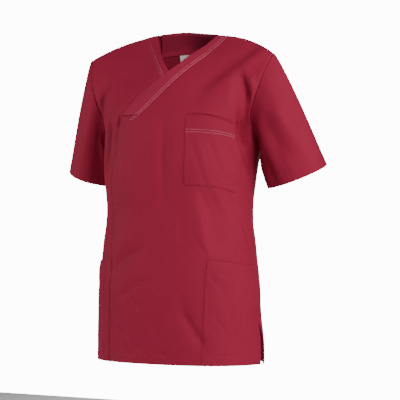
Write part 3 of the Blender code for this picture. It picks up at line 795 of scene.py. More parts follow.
def shares(length: float, step: float, sewn: Sequence[float]) -> Array:
    """Graded places as shares of the length."""
    return graded(length, step, sewn) / length


def between(marks: Sequence[Array], parts: Sequence[Array]) -> Array:
    """Columns of places between marks, each part a list of shares."""
    out = [np.asarray(marks[0], float)[..., None]]
    for a, b, part in zip(marks, marks[1:], parts):
        out.append(a[..., None] + (b - a)[..., None] * part[1:])
    return np.concatenate(out, -1)


@dataclass
class Sheet:
    """A grid of points with their outward directions and cloth coordinates."""

    points: Array
    outward: Array
    chart: Array
    used: Array | None = None
    loop: bool = False

    def build(self, name: str, sides: Materials, thick: float = CLOTH) -> bpy.types.Object:
        """Makes the closed cloth wall.

        Args:
            name: The piece's name.
            sides: Materials of the right side, with the edges, and of the wrong side.
            thick: The cloth's thickness.

        Returns:
            The new object.
        """
        rows, columns = self.points.shape[0] - 1, self.points.shape[1] - 1
        used = np.ones((rows, columns), bool) if self.used is None else self.used
        need = np.zeros((rows + 1, columns + 1), bool)
        for down in (0, 1):
            for along in (0, 1):
                need[down : rows + down, along : columns + along] |= used
        if self.loop:
            need[:, -1] = False
        count = int(need.sum())
        number = np.full(need.shape, -1)
        number[need] = np.arange(count)
        if self.loop:
            number[:, -1] = number[:, 0]
        i, j = (index[:, None] for index in np.nonzero(used))
        i, j = i + np.array([0, 0, 1, 1]), j + np.array([0, 1, 1, 0])
        corner = self.points[i, j]
        normal = np.cross(corner[:, 1] - corner[:, 0], corner[:, 3] - corner[:, 0])
        if np.sum(normal * self.outward[i[:, 0], j[:, 0]]) < 0:
            i, j = i[:, ::-1], j[:, ::-1]
        quads, chart = number[i, j], self.chart[i, j]
        a, b = quads.ravel(), np.roll(quads, -1, axis=1).ravel()
        free = ~np.isin(a * count + b, b * count + a)
        rims = np.stack([b, a, a + count, b + count], -1)[free]
        from_a, to_b = chart.reshape(-1, 2), np.roll(chart, -1, axis=1).reshape(-1, 2)
        rim_chart = np.stack([to_b, from_a, from_a, to_b], 1)[free]
        faces = np.concatenate([quads, quads[:, ::-1] + count, rims])
        charts = np.concatenate([chart, chart[:, ::-1], rim_chart])
        outer = self.points[need]
        verts = np.concatenate([outer, outer - self.outward[need] * thick])
        mesh = bpy.data.meshes.new(name)
        mesh.from_pydata(verts.tolist(), [], faces.tolist())
        layer = mesh.uv_layers.new(name="cloth")
        layer.data.foreach_set("uv", charts.astype("f4").ravel())
        for material in sides:
            mesh.materials.append(material)
        index = np.zeros(len(faces), int)
        index[len(quads) : 2 * len(quads)] = 1
        mesh.polygons.foreach_set("material_index", index)
        mesh.shade_smooth()
        mesh.set_sharp_from_angle(angle=SHARP)
        return placed(name, mesh)


def placed(name: str, data: bpy.types.ID) -> bpy.types.Object:
    """A new object in the scene with this data."""
    thing = bpy.data.objects.new(name, data)
    bpy.context.collection.objects.link(thing)
    return thing


@dataclass(frozen=True)
class Thread:
    """A sewing thread and how its stitches lie."""

    radius: float
    length: float = 0.0023
    pitch: float = 0.0029
    sides: int = 6
    probe: ClassVar[float] = 0.0004
    stations: ClassVar[tuple[float, ...]] = (-0.5, -0.3, 0.3, 0.5)
    swell: ClassVar[tuple[float, ...]] = (0.45, 1.0, 1.0, 0.45)
    lift: ClassVar[tuple[float, ...]] = (-0.00005, 0.00012, 0.00012, -0.00005)


CONTRAST_THREAD = Thread(0.00030)
TONED_THREAD = Thread(0.00019, sides=5)


@dataclass
class Stitcher:
    """Rows of stitches that lie on one piece of cloth."""

    name: str
    thread: Thread
    material: bpy.types.Material
    verts: list[Array] = field(default_factory=list)
    count: int = 0

    def row(self, points: Array, outward: Array) -> None:
        """Adds a row of stitches along a line on the cloth.

        Args:
            points: The line's points, in order.
            outward: The cloth's outward direction at each.
        """
        thread = self.thread
        steps = np.linalg.norm(np.diff(points, axis=0), axis=1)
        gone = np.concatenate([[0], np.cumsum(steps)])
        number = int((gone[-1] - thread.length) / thread.pitch)
        if number < 1:
            return
        middles = (np.arange(number) + 0.5) * gone[-1] / number
        at = middles[:, None] + np.array(thread.stations) * thread.length
        centre, up = table_at(at, gone, points), unit(table_at(at, gone, outward))
        before, after = at - thread.probe, at + thread.probe
        ahead = unit(table_at(after, gone, points) - table_at(before, gone, points))
        across = unit(np.cross(ahead, up))
        turn = (2 * np.pi * np.arange(thread.sides) / thread.sides)[:, None]
        swell = thread.radius * np.array(thread.swell)[:, None, None]
        ring = across[:, :, None] * np.cos(turn) + up[:, :, None] * np.sin(turn)
        lift = np.array(thread.lift)[:, None] * up
        self.verts.append(((centre + lift)[:, :, None] + ring * swell).reshape(-1, 3))
        self.count += number

    def build(self) -> bpy.types.Object:
        """Makes the stitches."""
        sides, stations = self.thread.sides, len(self.thread.stations)
        k = np.arange(sides)
        after = (k + 1) % sides
        around = np.stack([k, after, after + sides, k + sides], -1)
        walls = [around + station * sides for station in range(stations - 1)]
        start = (np.arange(self.count) * sides * stations)[:, None, None]
        faces = (np.concatenate(walls)[None] + start).reshape(-1, 4).tolist()
        ends = np.stack([k[::-1], k + (stations - 1) * sides])
        faces += (ends[None] + start).reshape(-1, sides).tolist()
        mesh = bpy.data.meshes.new(self.name)
        mesh.from_pydata(np.concatenate(self.verts).tolist(), [], faces)
        mesh.materials.append(self.material)
        mesh.shade_smooth()
        return placed(self.name, mesh)


# ---- finishes ------------------------------------------------------------
Colour = tuple[float, float, float]


class Signal:
    """A shader socket that ordinary arithmetic works on."""

    def __init__(self, graph: Graph, socket: bpy.types.NodeSocket) -> None:
        """Wraps a socket of a graph."""
        self.graph, self.socket = graph, socket

    def math(self, operation: str, *others: Signal | float) -> Signal:
        """A Math node on this value and others."""
        inputs = dict(enumerate((self, *others)))
        return self.graph.node("ShaderNodeMath", {"operation": operation}, inputs)

    def __add__(self, other: Signal | float) -> Signal:
        """This plus another."""
        return self.math("ADD", other)

    def __mul__(self, other: Signal | float) -> Signal:
        """This times another."""
        return self.math("MULTIPLY", other)

    def __sub__(self, other: Signal | float) -> Signal:
        """This less another."""
        return self.math("SUBTRACT", other)

    def sin(self) -> Signal:
        """Its sine."""
        return self.math("SINE")


class Graph:
    """The nodes of one material."""

    def __init__(self, name: str) -> None:
        """Starts a material with its one shader."""
        self.material = bpy.data.materials.new(name)
        self.material.use_nodes = True
        self.tree = self.material.node_tree
        self.shader = self.tree.nodes["Principled BSDF"]

    def node(
        self, kind: str, settings: dict | None = None, inputs: dict | None = None,
        output: int | str = 0,
    ) -> Signal:
        """Adds a node.

        Args:
            kind: The node's type.
            settings: Its properties, set first.
            inputs: Values, or signals to link, by input.
            output: Which output to give back.

        Returns:
            The chosen output as a signal.
        """
        made = self.tree.nodes.new(kind)
        for key, value in (settings or {}).items():
            setattr(made, key, value)
        for key, value in (inputs or {}).items():
            if isinstance(value, Signal):
                self.tree.links.new(value.socket, made.inputs[key])
            else:
                made.inputs[key].default_value = value
        return Signal(self, made.outputs[output])

    def feed(self, name: str, value: Signal) -> None:
        """Links a signal to the shader."""
        self.tree.links.new(value.socket, self.shader.inputs[name])

    def hold(self, values: dict[str, float | Colour]) -> None:
        """Sets the shader's constants."""
        for name, value in values.items():
            self.shader.inputs[name].default_value = value

    def mix(self, factor: Signal | float, a: Signal | Colour, b: Signal | Colour) -> Signal:
        """A mix of two colours."""
        inputs = {0: factor}
        for key, value in ((6, a), (7, b)):
            inputs[key] = value if isinstance(value, Signal) else (*value, 1.0)
        return self.node("ShaderNodeMix", {"data_type": "RGBA"}, inputs, 2)

    def noise(self, place: Signal, scale: float, detail: float) -> Signal:
        """A noise from about 0 to 1."""
        inputs = {"Vector": place, "Scale": scale, "Detail": detail}
        return self.node("ShaderNodeTexNoise", None, inputs)


@dataclass(frozen=True)
class ClothFinish:
    """Smooth poly-cotton twill, with its slubs, fibres and wear as scale and detail."""

    name: str
    dark: Colour
    pale: Colour
    roughness: float = 0.58
    sheen: float = 0.01
    sheen_tint: tuple[float, ...] = (1.0, 0.60, 0.68, 1.0)
    pitch: float = 0.0006
    slant: float = 0.62
    relief: float = 0.00005

    SLUB: ClassVar[tuple[float, float]] = (900.0, 2.0)
    FIBRE: ClassVar[tuple[float, float]] = (260.0, 3.0)
    WEAR: ClassVar[tuple[float, float]] = (9.0, 3.0)

    def material(self) -> bpy.types.Material:
        """Builds the cloth's material."""
        graph = Graph(self.name)
        chart = graph.node("ShaderNodeUVMap", {"uv_map": "cloth"})
        u, v = (graph.node("ShaderNodeSeparateXYZ", None, {0: chart}, k) for k in (0, 1))
        twill = ((u + v * self.slant) * (2 * math.pi / self.pitch)).sin()
        slub, fibre, wear = (
            graph.noise(chart, *grain) for grain in (self.SLUB, self.FIBRE, self.WEAR)
        )
        tone = (wear - 0.5) * 0.5 + (slub - 0.5) * 0.5 + (fibre - 0.5) * 0.5 + twill * 0.08 + 0.5
        graph.feed("Base Color", graph.mix(tone, self.dark, self.pale))
        graph.feed("Roughness", (slub - 0.5) * 0.14 + self.roughness)
        weave = twill * 0.5 + slub * 0.9 + fibre * 1.2
        bumped = {"Height": weave, "Distance": self.relief, "Strength": 0.7}
        graph.feed("Normal", graph.node("ShaderNodeBump", None, bumped))
        graph.hold({
            "Sheen Weight": self.sheen,
            "Sheen Roughness": 0.4,
            "Sheen Tint": self.sheen_tint,
            "Specular IOR Level": 0.03,
        })
        return graph.material


@dataclass(frozen=True)
class ThreadFinish:
    """Spun sewing thread."""

    name: str
    colour: Colour

    def material(self) -> bpy.types.Material:
        """Builds the thread's material."""
        graph = Graph(self.name)
        place = graph.node("ShaderNodeTexCoord", output="Object")
        fuzz = graph.noise(place, 1800.0, 1.0)
        dark = tuple(c * 0.75 for c in self.colour)
        graph.feed("Base Color", graph.mix(fuzz, dark, self.colour))
        graph.feed("Roughness", fuzz * 0.2 + 0.4)
        graph.hold({"Sheen Weight": 0.2})
        return graph.material


class Finishes:
    """Every material of the tunic, and the two sides of each of its cloths."""

    def __init__(self) -> None:
        """Builds them all."""
        right = ClothFinish("burgundy_twill", (0.252, 0.0147, 0.0385), (0.338, 0.0203, 0.0525))
        # The wrong side is darker: partly the cloth's duller back, partly painted shade for the
        # insides seen through the side vents and the neck.
        wrong = ClothFinish(
            "burgundy_wrong_side_painted_shade", (0.215, 0.0125, 0.032), (0.285, 0.0170, 0.043), 0.75, 0.0
        )
        woven = ClothFinish(
            "label_tape", (0.72, 0.71, 0.70), (0.84, 0.83, 0.82), 0.6, 0.1, (1, 1, 1, 1)
        )
        # The band cloth is lighter: painted light, for how the bias-cut band catches the light and
        # for the light that reaches the facing inside the neck.
        band_painted_light = ClothFinish("burgundy_band_painted_light", (0.285, 0.0195, 0.048), (0.370, 0.0265, 0.065))
        outside, inside, tape, band = (x.material() for x in (right, wrong, woven, band_painted_light))
        self.cloth, self.band = (outside, inside), (band, inside)
        self.facing, self.label = (inside, band), (tape, tape)
        self.contrast = ThreadFinish("rose_thread", (0.86, 0.31, 0.43)).material()
        self.toned = ThreadFinish("burgundy_thread", (0.29, 0.008, 0.036)).material()


# ---- pieces --------------------------------------------------------------
@dataclass
class Piece:
    """A cut piece of cloth, under its own name and that of the node it stands for."""

    form: BodyForm
    finishes: Finishes
    name: str
    node: str

    def __post_init__(self) -> None:
        """Starts the piece's stitches."""
        stitches, finishes = self.name + "_stitches", self.finishes
        contrast = self.name + "_contrast_stitches"
        self.toned = Stitcher(stitches, TONED_THREAD, finishes.toned)
        self.contrast = Stitcher(contrast, CONTRAST_THREAD, finishes.contrast)

    def cloth(self) -> bpy.types.Object:
        """Makes the cloth."""
        raise NotImplementedError

    def sew(self) -> None:
        """Adds the piece's rows of stitches."""

    def build(
        self, flat: tuple[float, float], area: float, held: str, rests_on: Sequence[str]
    ) -> None:
        """Args:
            flat: Width and length of the rectangle that it is cut from. Not used.
            area: Its flat area. Not used.
            held: How the cloth is held. Not used.
            rests_on: What it is sewn to. Not used.
        """
        cloth = self.cloth()
        self.sew()
        rows = [x.build() for x in (self.toned, self.contrast) if x.count]
        for thing in (cloth, *rows):
            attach(thing, "root")
        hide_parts(self.node)
        faces = sum(len(thing.data.polygons) for thing in (cloth, *rows))
        LOG.info("%s: %d faces, %d rows of stitches", cloth.name, faces, len(rows))


@dataclass
class BodyPanel(Piece):
    """A panel of the body, laid on its form."""

    step_up: float = 0.0031
    armhole_row_in: float = 0.006
    armhole_row_ends: float = 0.01
    vent_fade: float = 0.01

    SIDE: ClassVar[Side] = Side.FRONT

    def relief(self, s: Array, t: Array) -> Array:
        """How far the sewing makes each place stand out."""
        raise NotImplementedError

    def surface(self, s: Array, t: Array) -> tuple[Array, Array]:
        """Points and outward directions of places on the panel."""
        s, t = together(s, t)
        return self.form.surface(self.SIDE, s, t, self.relief(s, t))

    def levels(self, *sewn: float) -> Array:
        """Levels of the panel's grid, finer at the hem, the top and sewn heights."""
        sewn = (0.0, HEM.rows[0], *sewn, RULER[-1])
        t = np.interp(graded(RULER[-1], self.step_up, sewn), RULER, RULER_LEVELS)
        t[-1] = TOP_END
        return t

    def wall(self, s: Array, t: Array, used: Array | None = None) -> bpy.types.Object:
        """The cloth over a grid of places."""
        level = np.broadcast_to(t[:, None], s.shape)
        sheet = Sheet(*self.surface(s, level), np.stack([s, height(level)], -1), used)
        return sheet.build(self.name, self.finishes.cloth)

    def turned(self, s: Array, t: Array) -> Array:
        """Relief of the turned hem and of the turned edge beside a side vent."""
        form = self.form
        beside = form.length(self.SIDE, t) - np.abs(s)
        in_vent = ease((form.vent_top - t) / self.vent_fade + 0.5)
        return HEM.relief(t * HEM_PACE, s) + VENT_HEM.relief(beside, t * EDGE_PACE) * in_vent

    def toned_row(self, s: Array, t: Array | float) -> None:
        """Adds a toned row of stitches along places on the panel."""
        self.toned.row(*self.surface(s, t))

    def armhole_row(self, hand: Hand) -> None:
        """Adds the toned row beside an armhole."""
        ends = self.armhole_row_ends
        t = np.linspace(UNDERARM + ends, TOP - ends, COUNT)
        self.toned_row((self.form.length(self.SIDE, t) - self.armhole_row_in) * hand.value, t)


@dataclass
class FrontLeft(BodyPanel):
    """The big front panel, with the corner that wraps over to the right."""

    corner_fade: float = 0.010
    short_fade: float = 0.004
    corner_width: float = 0.060
    corner_step: float = 0.0034
    main_width: float = 0.320
    main_step: float = 0.0033
    run_on: float = 0.014
    run_on_slope: float = 1.074
    run_on_points: int = 30
    mouth_dip: float = 0.0030
    mouth_below: float = 0.0012
    mouth_reach: float = 0.0032
    mouth_ends: float = 0.06

    def relief(self, s: Array, t: Array) -> Array:
        """How far the sewing makes each place stand out."""
        over_yoke, skirt = ease((t - YOKE_SEAM) / self.corner_fade + 0.5), t <= YOKE_SEAM
        seam = STITCHED_SEAM.relief(s - PANEL_SEAM.at(t), t * EDGE_PACE) * skirt
        band = PLAIN_SEAM.relief((s - OVER_SEAM.at(t)) * BAND_SLANT, t) * over_yoke
        short = PLAIN_SEAM.relief((YOKE_SEAM - t) * self.form.pace(Side.FRONT, s, t), s)
        short = short * ease((CORNER.at(t) - s) / self.short_fade) * skirt
        return self.turned(s, t) + seam + band + short + self.under_mouth(s, t)

    def under_mouth(self, s: Array, t: Array) -> Array:
        """The dip along the chest pocket's mouth."""
        p = (s - POCKET_IN.at(t)) / (POCKET_OUT.at(t) - POCKET_IN.at(t))
        drop = CHEST_DROPS[-1] * np.clip(p, 0.0, 1.1) ** CHEST_BEND
        above = (t - YOKE_SEAM + drop) * self.form.pace(Side.FRONT, s, t)
        inside = ease(p / self.mouth_ends + 0.5) * ease((1 - p) / self.mouth_ends + 0.5)
        return -self.mouth_dip * bump(above + self.mouth_below, self.mouth_reach) * inside

    def cloth(self) -> bpy.types.Object:
        """Makes the panel."""
        t = self.levels(float(height(YOKE_SEAM)))
        above = t > YOKE_SEAM + HAIR
        corner = np.where(above, OVER_SEAM.at(t), CORNER.at(t))
        edge = self.form.length(Side.FRONT, t) - HALF_GAP
        first = shares(self.corner_width, self.corner_step, (0.0, *STITCHED_SEAM.rows))
        second = shares(self.main_width, self.main_step, (0.0, self.main_width))
        s = between([PANEL_SEAM.at(t) + HALF_GAP, corner + HALF_GAP, edge], (first, second))
        used = np.ones((len(t) - 1, s.shape[1] - 1), bool)
        used[above[1:], : len(first) - 1] = False
        return self.wall(s, t, used)

    def sew(self) -> None:
        """Adds the panel's rows of stitches."""
        t = np.linspace(ROW_END, YOKE_SEAM - SEAM_ROW_END, COUNT)
        for row in STITCHED_SEAM.rows:
            self.toned_row(PANEL_SEAM.at(t) + row, t)
        ends = float(PANEL_SEAM.at(0.0)) + ROW_END, float(POCKET_IN.at(0.0))
        self.toned_row(np.linspace(*ends, COUNT), HEM.rows[0] / HEM_PACE)
        self.armhole_row(Hand.LEFT)
        t = np.linspace(YOKE_SEAM - self.run_on, YOKE_SEAM, self.run_on_points)
        for row in BAND.rows:
            start = float(OVER_SEAM.at(YOKE_SEAM)) - row / BAND_SLANT
            self.contrast.row(*self.surface(start + (t - YOKE_SEAM) * self.run_on_slope, t))


@dataclass
class FrontRight(BodyPanel):
    """The side strip and the yoke part that runs on under the wrap."""

    strip_width: float = 0.150
    strip_step: float = 0.0031
    strip_top: float = -0.19
    yoke_width: float = 0.160
    yoke_step: float = 0.0034
    spare: float = 0.06

    def relief(self, s: Array, t: Array) -> Array:
        """How far the sewing makes each place stand out."""
        above = t >= YOKE_SEAM - HAIR
        seam = PLAIN_SEAM.relief(PANEL_SEAM.at(t) - s, t * EDGE_PACE) * ~above
        band = PLAIN_SEAM.relief((UNDER_SEAM.at(t) - s) * BAND_SLANT, t) * above
        return self.turned(s, t) + seam + band

    def surface(self, s: Array, t: Array) -> tuple[Array, Array]:
        """Points and outward directions, gone in beneath the wrap."""
        return moved(*super().surface(s, t), -under_depth(s, t))

    def cloth(self) -> bpy.types.Object:
        """Makes the panel."""
        t = self.levels(float(height(YOKE_SEAM)))
        above = t > YOKE_SEAM - HAIR
        seam = PANEL_SEAM.at(t) - HALF_GAP
        inner = np.where(above, UNDER_SEAM.at(t) - HALF_GAP, seam + self.spare)
        lean = np.clip((t - YOKE_SEAM) / (TOP - YOKE_SEAM), 0.0, 1.0)
        seam = seam + (self.strip_top - seam) * lean
        edge = HALF_GAP - self.form.length(Side.FRONT, t)
        first = shares(self.strip_width, self.strip_step, (0.0, self.strip_width))
        second = shares(self.yoke_width, self.yoke_step, (self.yoke_width,))
        s = between([edge, seam, inner], (first, second))
        used = np.ones((len(t) - 1, s.shape[1] - 1), bool)
        used[~above[:-1], len(first) - 1 :] = False
        return self.wall(s, t, used)

    def sew(self) -> None:
        """Adds the panel's row of stitches."""
        self.armhole_row(Hand.RIGHT)


@dataclass
class Back(BodyPanel):
    """The one-piece back."""

    step_up: float = 0.0034
    step_across: float = 0.0037
    side_width: float = 0.190
    neck_width: float = 0.160
    neck_fade: float = 0.004
    neck_reach: float = 0.05
    shoulder_row: float = 0.0025
    near_top: float = 0.99

    SIDE: ClassVar[Side] = Side.BACK

    def relief(self, s: Array, t: Array) -> Array:
        """How far the sewing makes each place stand out."""
        below = (TOP - t) * self.form.pace(Side.BACK, s, t)
        inside = ease((self.form.neck_half_width - np.abs(s)) / self.neck_fade + 0.5)
        neck = NECK_EDGE.relief(below, s) * inside * (below < self.neck_reach)
        return self.turned(s, t) + neck

    def cloth(self) -> bpy.types.Object:
        """Makes the panel."""
        t, half = self.levels(), self.form.neck_half_width
        neck = np.array([self.form.length_at_x(Side.BACK, half, level) for level in t])
        edge = self.form.length(Side.BACK, t) - HALF_GAP
        side = shares(self.side_width, self.step_across, (0.0,))
        middle = shares(self.neck_width, self.step_across, ())
        return self.wall(between([edge, neck, -neck, -edge], (side, middle, 1 - side[::-1])), t)

    def sew(self) -> None:
        """Adds the panel's rows of stitches."""
        form, half = self.form, self.form.neck_half_width
        end = float(form.length(Side.BACK, 0.0)) - ROW_END
        self.toned_row(np.linspace(-end, end, COUNT), HEM.rows[0] / HEM_PACE)
        for hand in Hand:
            t = np.linspace(SEAM_ROW_END, form.vent_top, SHORT_COUNT)
            self.toned_row((form.length(Side.BACK, t) - VENT_HEM.rows[0]) * hand.value, t)
            self.armhole_row(hand)
            inner = form.length_at_x(Side.BACK, half + ROW_END, TOP)
            outer = form.length(Side.BACK, TOP) - SEAM_ROW_END
            s = np.linspace(inner, outer, COUNT) * hand.value
            self.toned_row(s, TOP - self.shoulder_row)
        neck = form.length_at_x(Side.BACK, half - ROW_END, TOP)
        s = np.linspace(-neck, neck, COUNT)
        pace = form.pace(Side.BACK, s, np.full_like(s, self.near_top))
        self.toned_row(s, TOP - NECK_EDGE.rows[0] / pace)


@dataclass
class SleeveForm:
    """How a sleeve hangs from its armhole."""

    hand: Hand
    cuff: tuple[float, float, float]
    back: float
    half_wide: float
    top: float
    creases: tuple[Crease, ...]
    out: float = 17.0
    half_deep: float = 0.056
    low: float = 0.05
    top_direction: tuple[float, float, float] = (0.76, 0.05, -0.65)
    low_lift: tuple[float, float, float] = (0.30, 0.0, 0.0)
    fullness: float = 0.25
    cuff_reach: float = 0.10
    girth: float = 0.440
    length: float = 0.270

    def frame(self) -> tuple[Array, Array, Array]:
        """The axis and the cuff's outward and forward directions."""
        out, back = math.radians(self.out), math.radians(self.back)
        level = math.cos(out)
        axis = unit(np.array([math.sin(out), math.sin(back) * level, -level * math.cos(back)]))
        forward = np.array([0.0, -1.0, 0.0])
        forward = unit(forward - axis * (forward @ axis))
        outward = np.cross(forward, axis)
        return axis, outward * np.sign(outward[0]), forward


SLEEVES = (
    SleeveForm(Hand.LEFT, (0.282, 0.004, -0.322), 18, 0.074, 0.030, NEAR_SLEEVE),
    SleeveForm(Hand.RIGHT, (0.258, 0.024, -0.323), 11, 0.069, 0.025, FAR_SLEEVE),
)


@dataclass
class Sleeve(Piece):
    """A set-in short sleeve, laid out by share of the way round and down it."""

    shape: SleeveForm
    cap_gap: float = 0.0001
    cap_puff: float = 0.0006
    cap_puff_below: float = 0.0075
    cap_puff_reach: float = 0.005
    cap_gather: float = 0.00012
    cap_blend: float = 0.010
    cap_at: float = 0.02
    step_round: float = 0.0032
    step_down: float = 0.0030
    probe: tuple[float, float] = (0.003, 0.004)

    def armhole(self, share: Array) -> Array:
        """Points of the armhole, a share of the way round it from the shoulder."""
        t, front = self.armhole_level(share)
        ends = [self.form.place(side, self.form.length(side, t), t) for side in Side]
        return np.where(front[..., None], ends[0], ends[1])

    def armhole_level(self, share: Array) -> tuple[Array, Array]:
        """The levels of places round the armhole, and which are at the front."""
        share = np.mod(share, 1.0)
        front = share <= 0.5
        return TOP - 2 * np.where(front, share, 1 - share) * (TOP - UNDERARM), front

    def plain(self, share: Array, down: Array) -> Array:
        """Points of the plain sleeve on the wearer's left."""
        shape = self.shape
        axis, outward, forward = shape.frame()
        turn = 2 * np.pi * share[..., None]
        high = (1 + np.cos(turn)) / 2
        start = self.armhole(share)
        direction = unit(
            high * np.array(shape.top_direction)
            + (1 - high) * (axis + np.array(shape.low_lift))
            + shape.fullness * np.sin(turn) * np.array([0.0, -1.0, 0.0])
        )
        reach = shape.low + (shape.top - shape.low) * high
        cuff = (
            np.array(shape.cuff)
            + shape.half_wide * np.cos(turn) * outward
            + shape.half_deep * np.sin(turn) * forward
        )
        near, far = start + direction * reach, cuff - axis * shape.cuff_reach
        v = down[..., None]
        return (
            (1 - v) ** 3 * start
            + 3 * (1 - v) ** 2 * v * near
            + 3 * (1 - v) * v**2 * far
            + v**3 * cuff
        )

    def normal(self, share: Array, down: Array) -> Array:
        """Outward normals of the plain sleeve."""
        round_by, down_by = self.probe
        low, high = np.maximum(down - down_by, 0.0), np.minimum(down + down_by, 1.0)
        around = self.plain(share + round_by, down) - self.plain(share - round_by, down)
        along = self.plain(share, high) - self.plain(share, low)
        return unit(np.cross(around, along))

    def cap_normal(self, share: Array) -> Array:
        """Outward normals beside the armhole."""
        return self.normal(share, np.full_like(share, self.cap_at))

    def surface(self, share: Array, down: Array) -> tuple[Array, Array]:
        """Points and outward directions of the creased sleeve, on its own side."""
        shape = self.shape
        share, down = together(share, down)
        points, normals = self.plain(share, down), self.normal(share, down)
        s, below = share * shape.girth, down * shape.length
        above = (1 - down) * shape.length
        puff = self.cap_puff * bump(below - self.cap_puff_below, self.cap_puff_reach)
        rise = CUFF_HEM.relief(above, s) + puff
        rise = rise + self.cap_gather * gathers(s) * bump(below, self.cap_blend)
        for crease in shape.creases:
            for turn in (-shape.girth, 0.0, shape.girth):
                rise = rise + crease.rise_at(s + turn, -below) * ease(below / self.cap_blend)
        t, front = self.armhole_level(share)
        rims = [table_at(t, self.form.t, self.form.rims[side]) for side in Side]
        rim = np.where(front[..., None], rims[0], rims[1])
        sewn = bump(below, self.form.dip_reach)[..., None]
        points = points + normals * rise[..., None] - rim * sewn * self.form.armhole_dip
        outward = unit(normals * (1 - sewn) + rim * sewn)
        mirror = np.array([float(shape.hand.value), 1.0, 1.0])
        return points * mirror, outward * mirror

    def cloth(self) -> bpy.types.Object:
        """Makes the sleeve."""
        girth, length = self.shape.girth, self.shape.length
        share = np.linspace(0.0, 1.0, round(girth / self.step_round) + 1)
        down = shares(length, self.step_down, (0.0, length - CUFF_HEM.rows[0], length))
        down = self.cap_gap / length + down * (1 - self.cap_gap / length)
        share, down = np.meshgrid(share, down)
        chart = np.stack([share * girth, -down * length], -1)
        sheet = Sheet(*self.surface(share, down), chart, loop=True)
        return sheet.build(self.name, self.finishes.cloth)

    def sew(self) -> None:
        """Adds the row round the cuff's hem."""
        down = 1 - CUFF_HEM.rows[0] / self.shape.length
        self.toned.row(*self.surface(np.linspace(0.0, 1.0, COUNT), down))


@dataclass
class NeckBand(Piece):
    """A neck band between its seam and its free edge."""

    hand: Hand
    seam: Line
    edge: Line
    sink: float = 0.0
    sink_more: float = 0.00018
    sink_start: float = 0.93
    sink_climb: float = 0.06
    puff: float = 0.0008
    puff_blend: float = 0.006
    roll: float = 0.0007
    roll_reach: float = 0.0016
    width: float = 0.030
    step_up: float = 0.0022
    step_across: float = 0.0021
    off_yoke: float = 0.0004

    def surface(self, across: Array, t: Array) -> tuple[Array, Array]:
        """Points and outward directions, a distance across from the seam."""
        across, t = together(across, t)
        full = (self.edge.at(t) - self.seam.at(t)) * BAND_SLANT
        s = self.seam.at(t) + np.sign(full) * across / BAND_SLANT
        relief = BAND.relief(across, height(t) * BAND_CLIMB)
        relief = relief + self.puff * ease(across / self.puff_blend)
        relief = relief - self.roll * bump(np.abs(full) - across, self.roll_reach)
        sunk = under_depth(s, t) * (self.hand is Hand.RIGHT)
        return moved(*self.form.surface(Side.FRONT, s, t, relief), -sunk)

    def cloth(self) -> bpy.types.Object:
        """Makes the band."""
        climb, low = RULER[-1] - float(height(YOKE_SEAM)), YOKE_SEAM + self.off_yoke
        t = low + (TOP_END - low) * shares(climb, self.step_up, (0.0, climb))
        full = np.abs(self.edge.at(t) - self.seam.at(t)) * BAND_SLANT
        part = shares(self.width, self.step_across, (0.0, *BAND.rows, self.width))
        across = HALF_GAP + (full[:, None] - HALF_GAP) * part
        level = np.broadcast_to(t[:, None], across.shape)
        chart = np.stack([across, height(level) * BAND_CLIMB], -1)
        over, finishes = self.hand is Hand.LEFT, self.finishes
        sheet = Sheet(*self.surface(across, level), chart)
        # The wrapping band wears the lighter band cloth, which is painted light.
        return sheet.build(self.name, finishes.band if over else finishes.cloth)

    def sew(self) -> None:
        """Adds the twin rows beside the band's seam."""
        t = np.linspace(YOKE_SEAM + ROW_END / 2, TOP - ROW_END, COUNT)
        sunk = self.sink + self.sink_more * ease((t - self.sink_start) / self.sink_climb)
        for row in BAND.rows:
            self.contrast.row(*moved(*self.surface(row, t), -sunk))


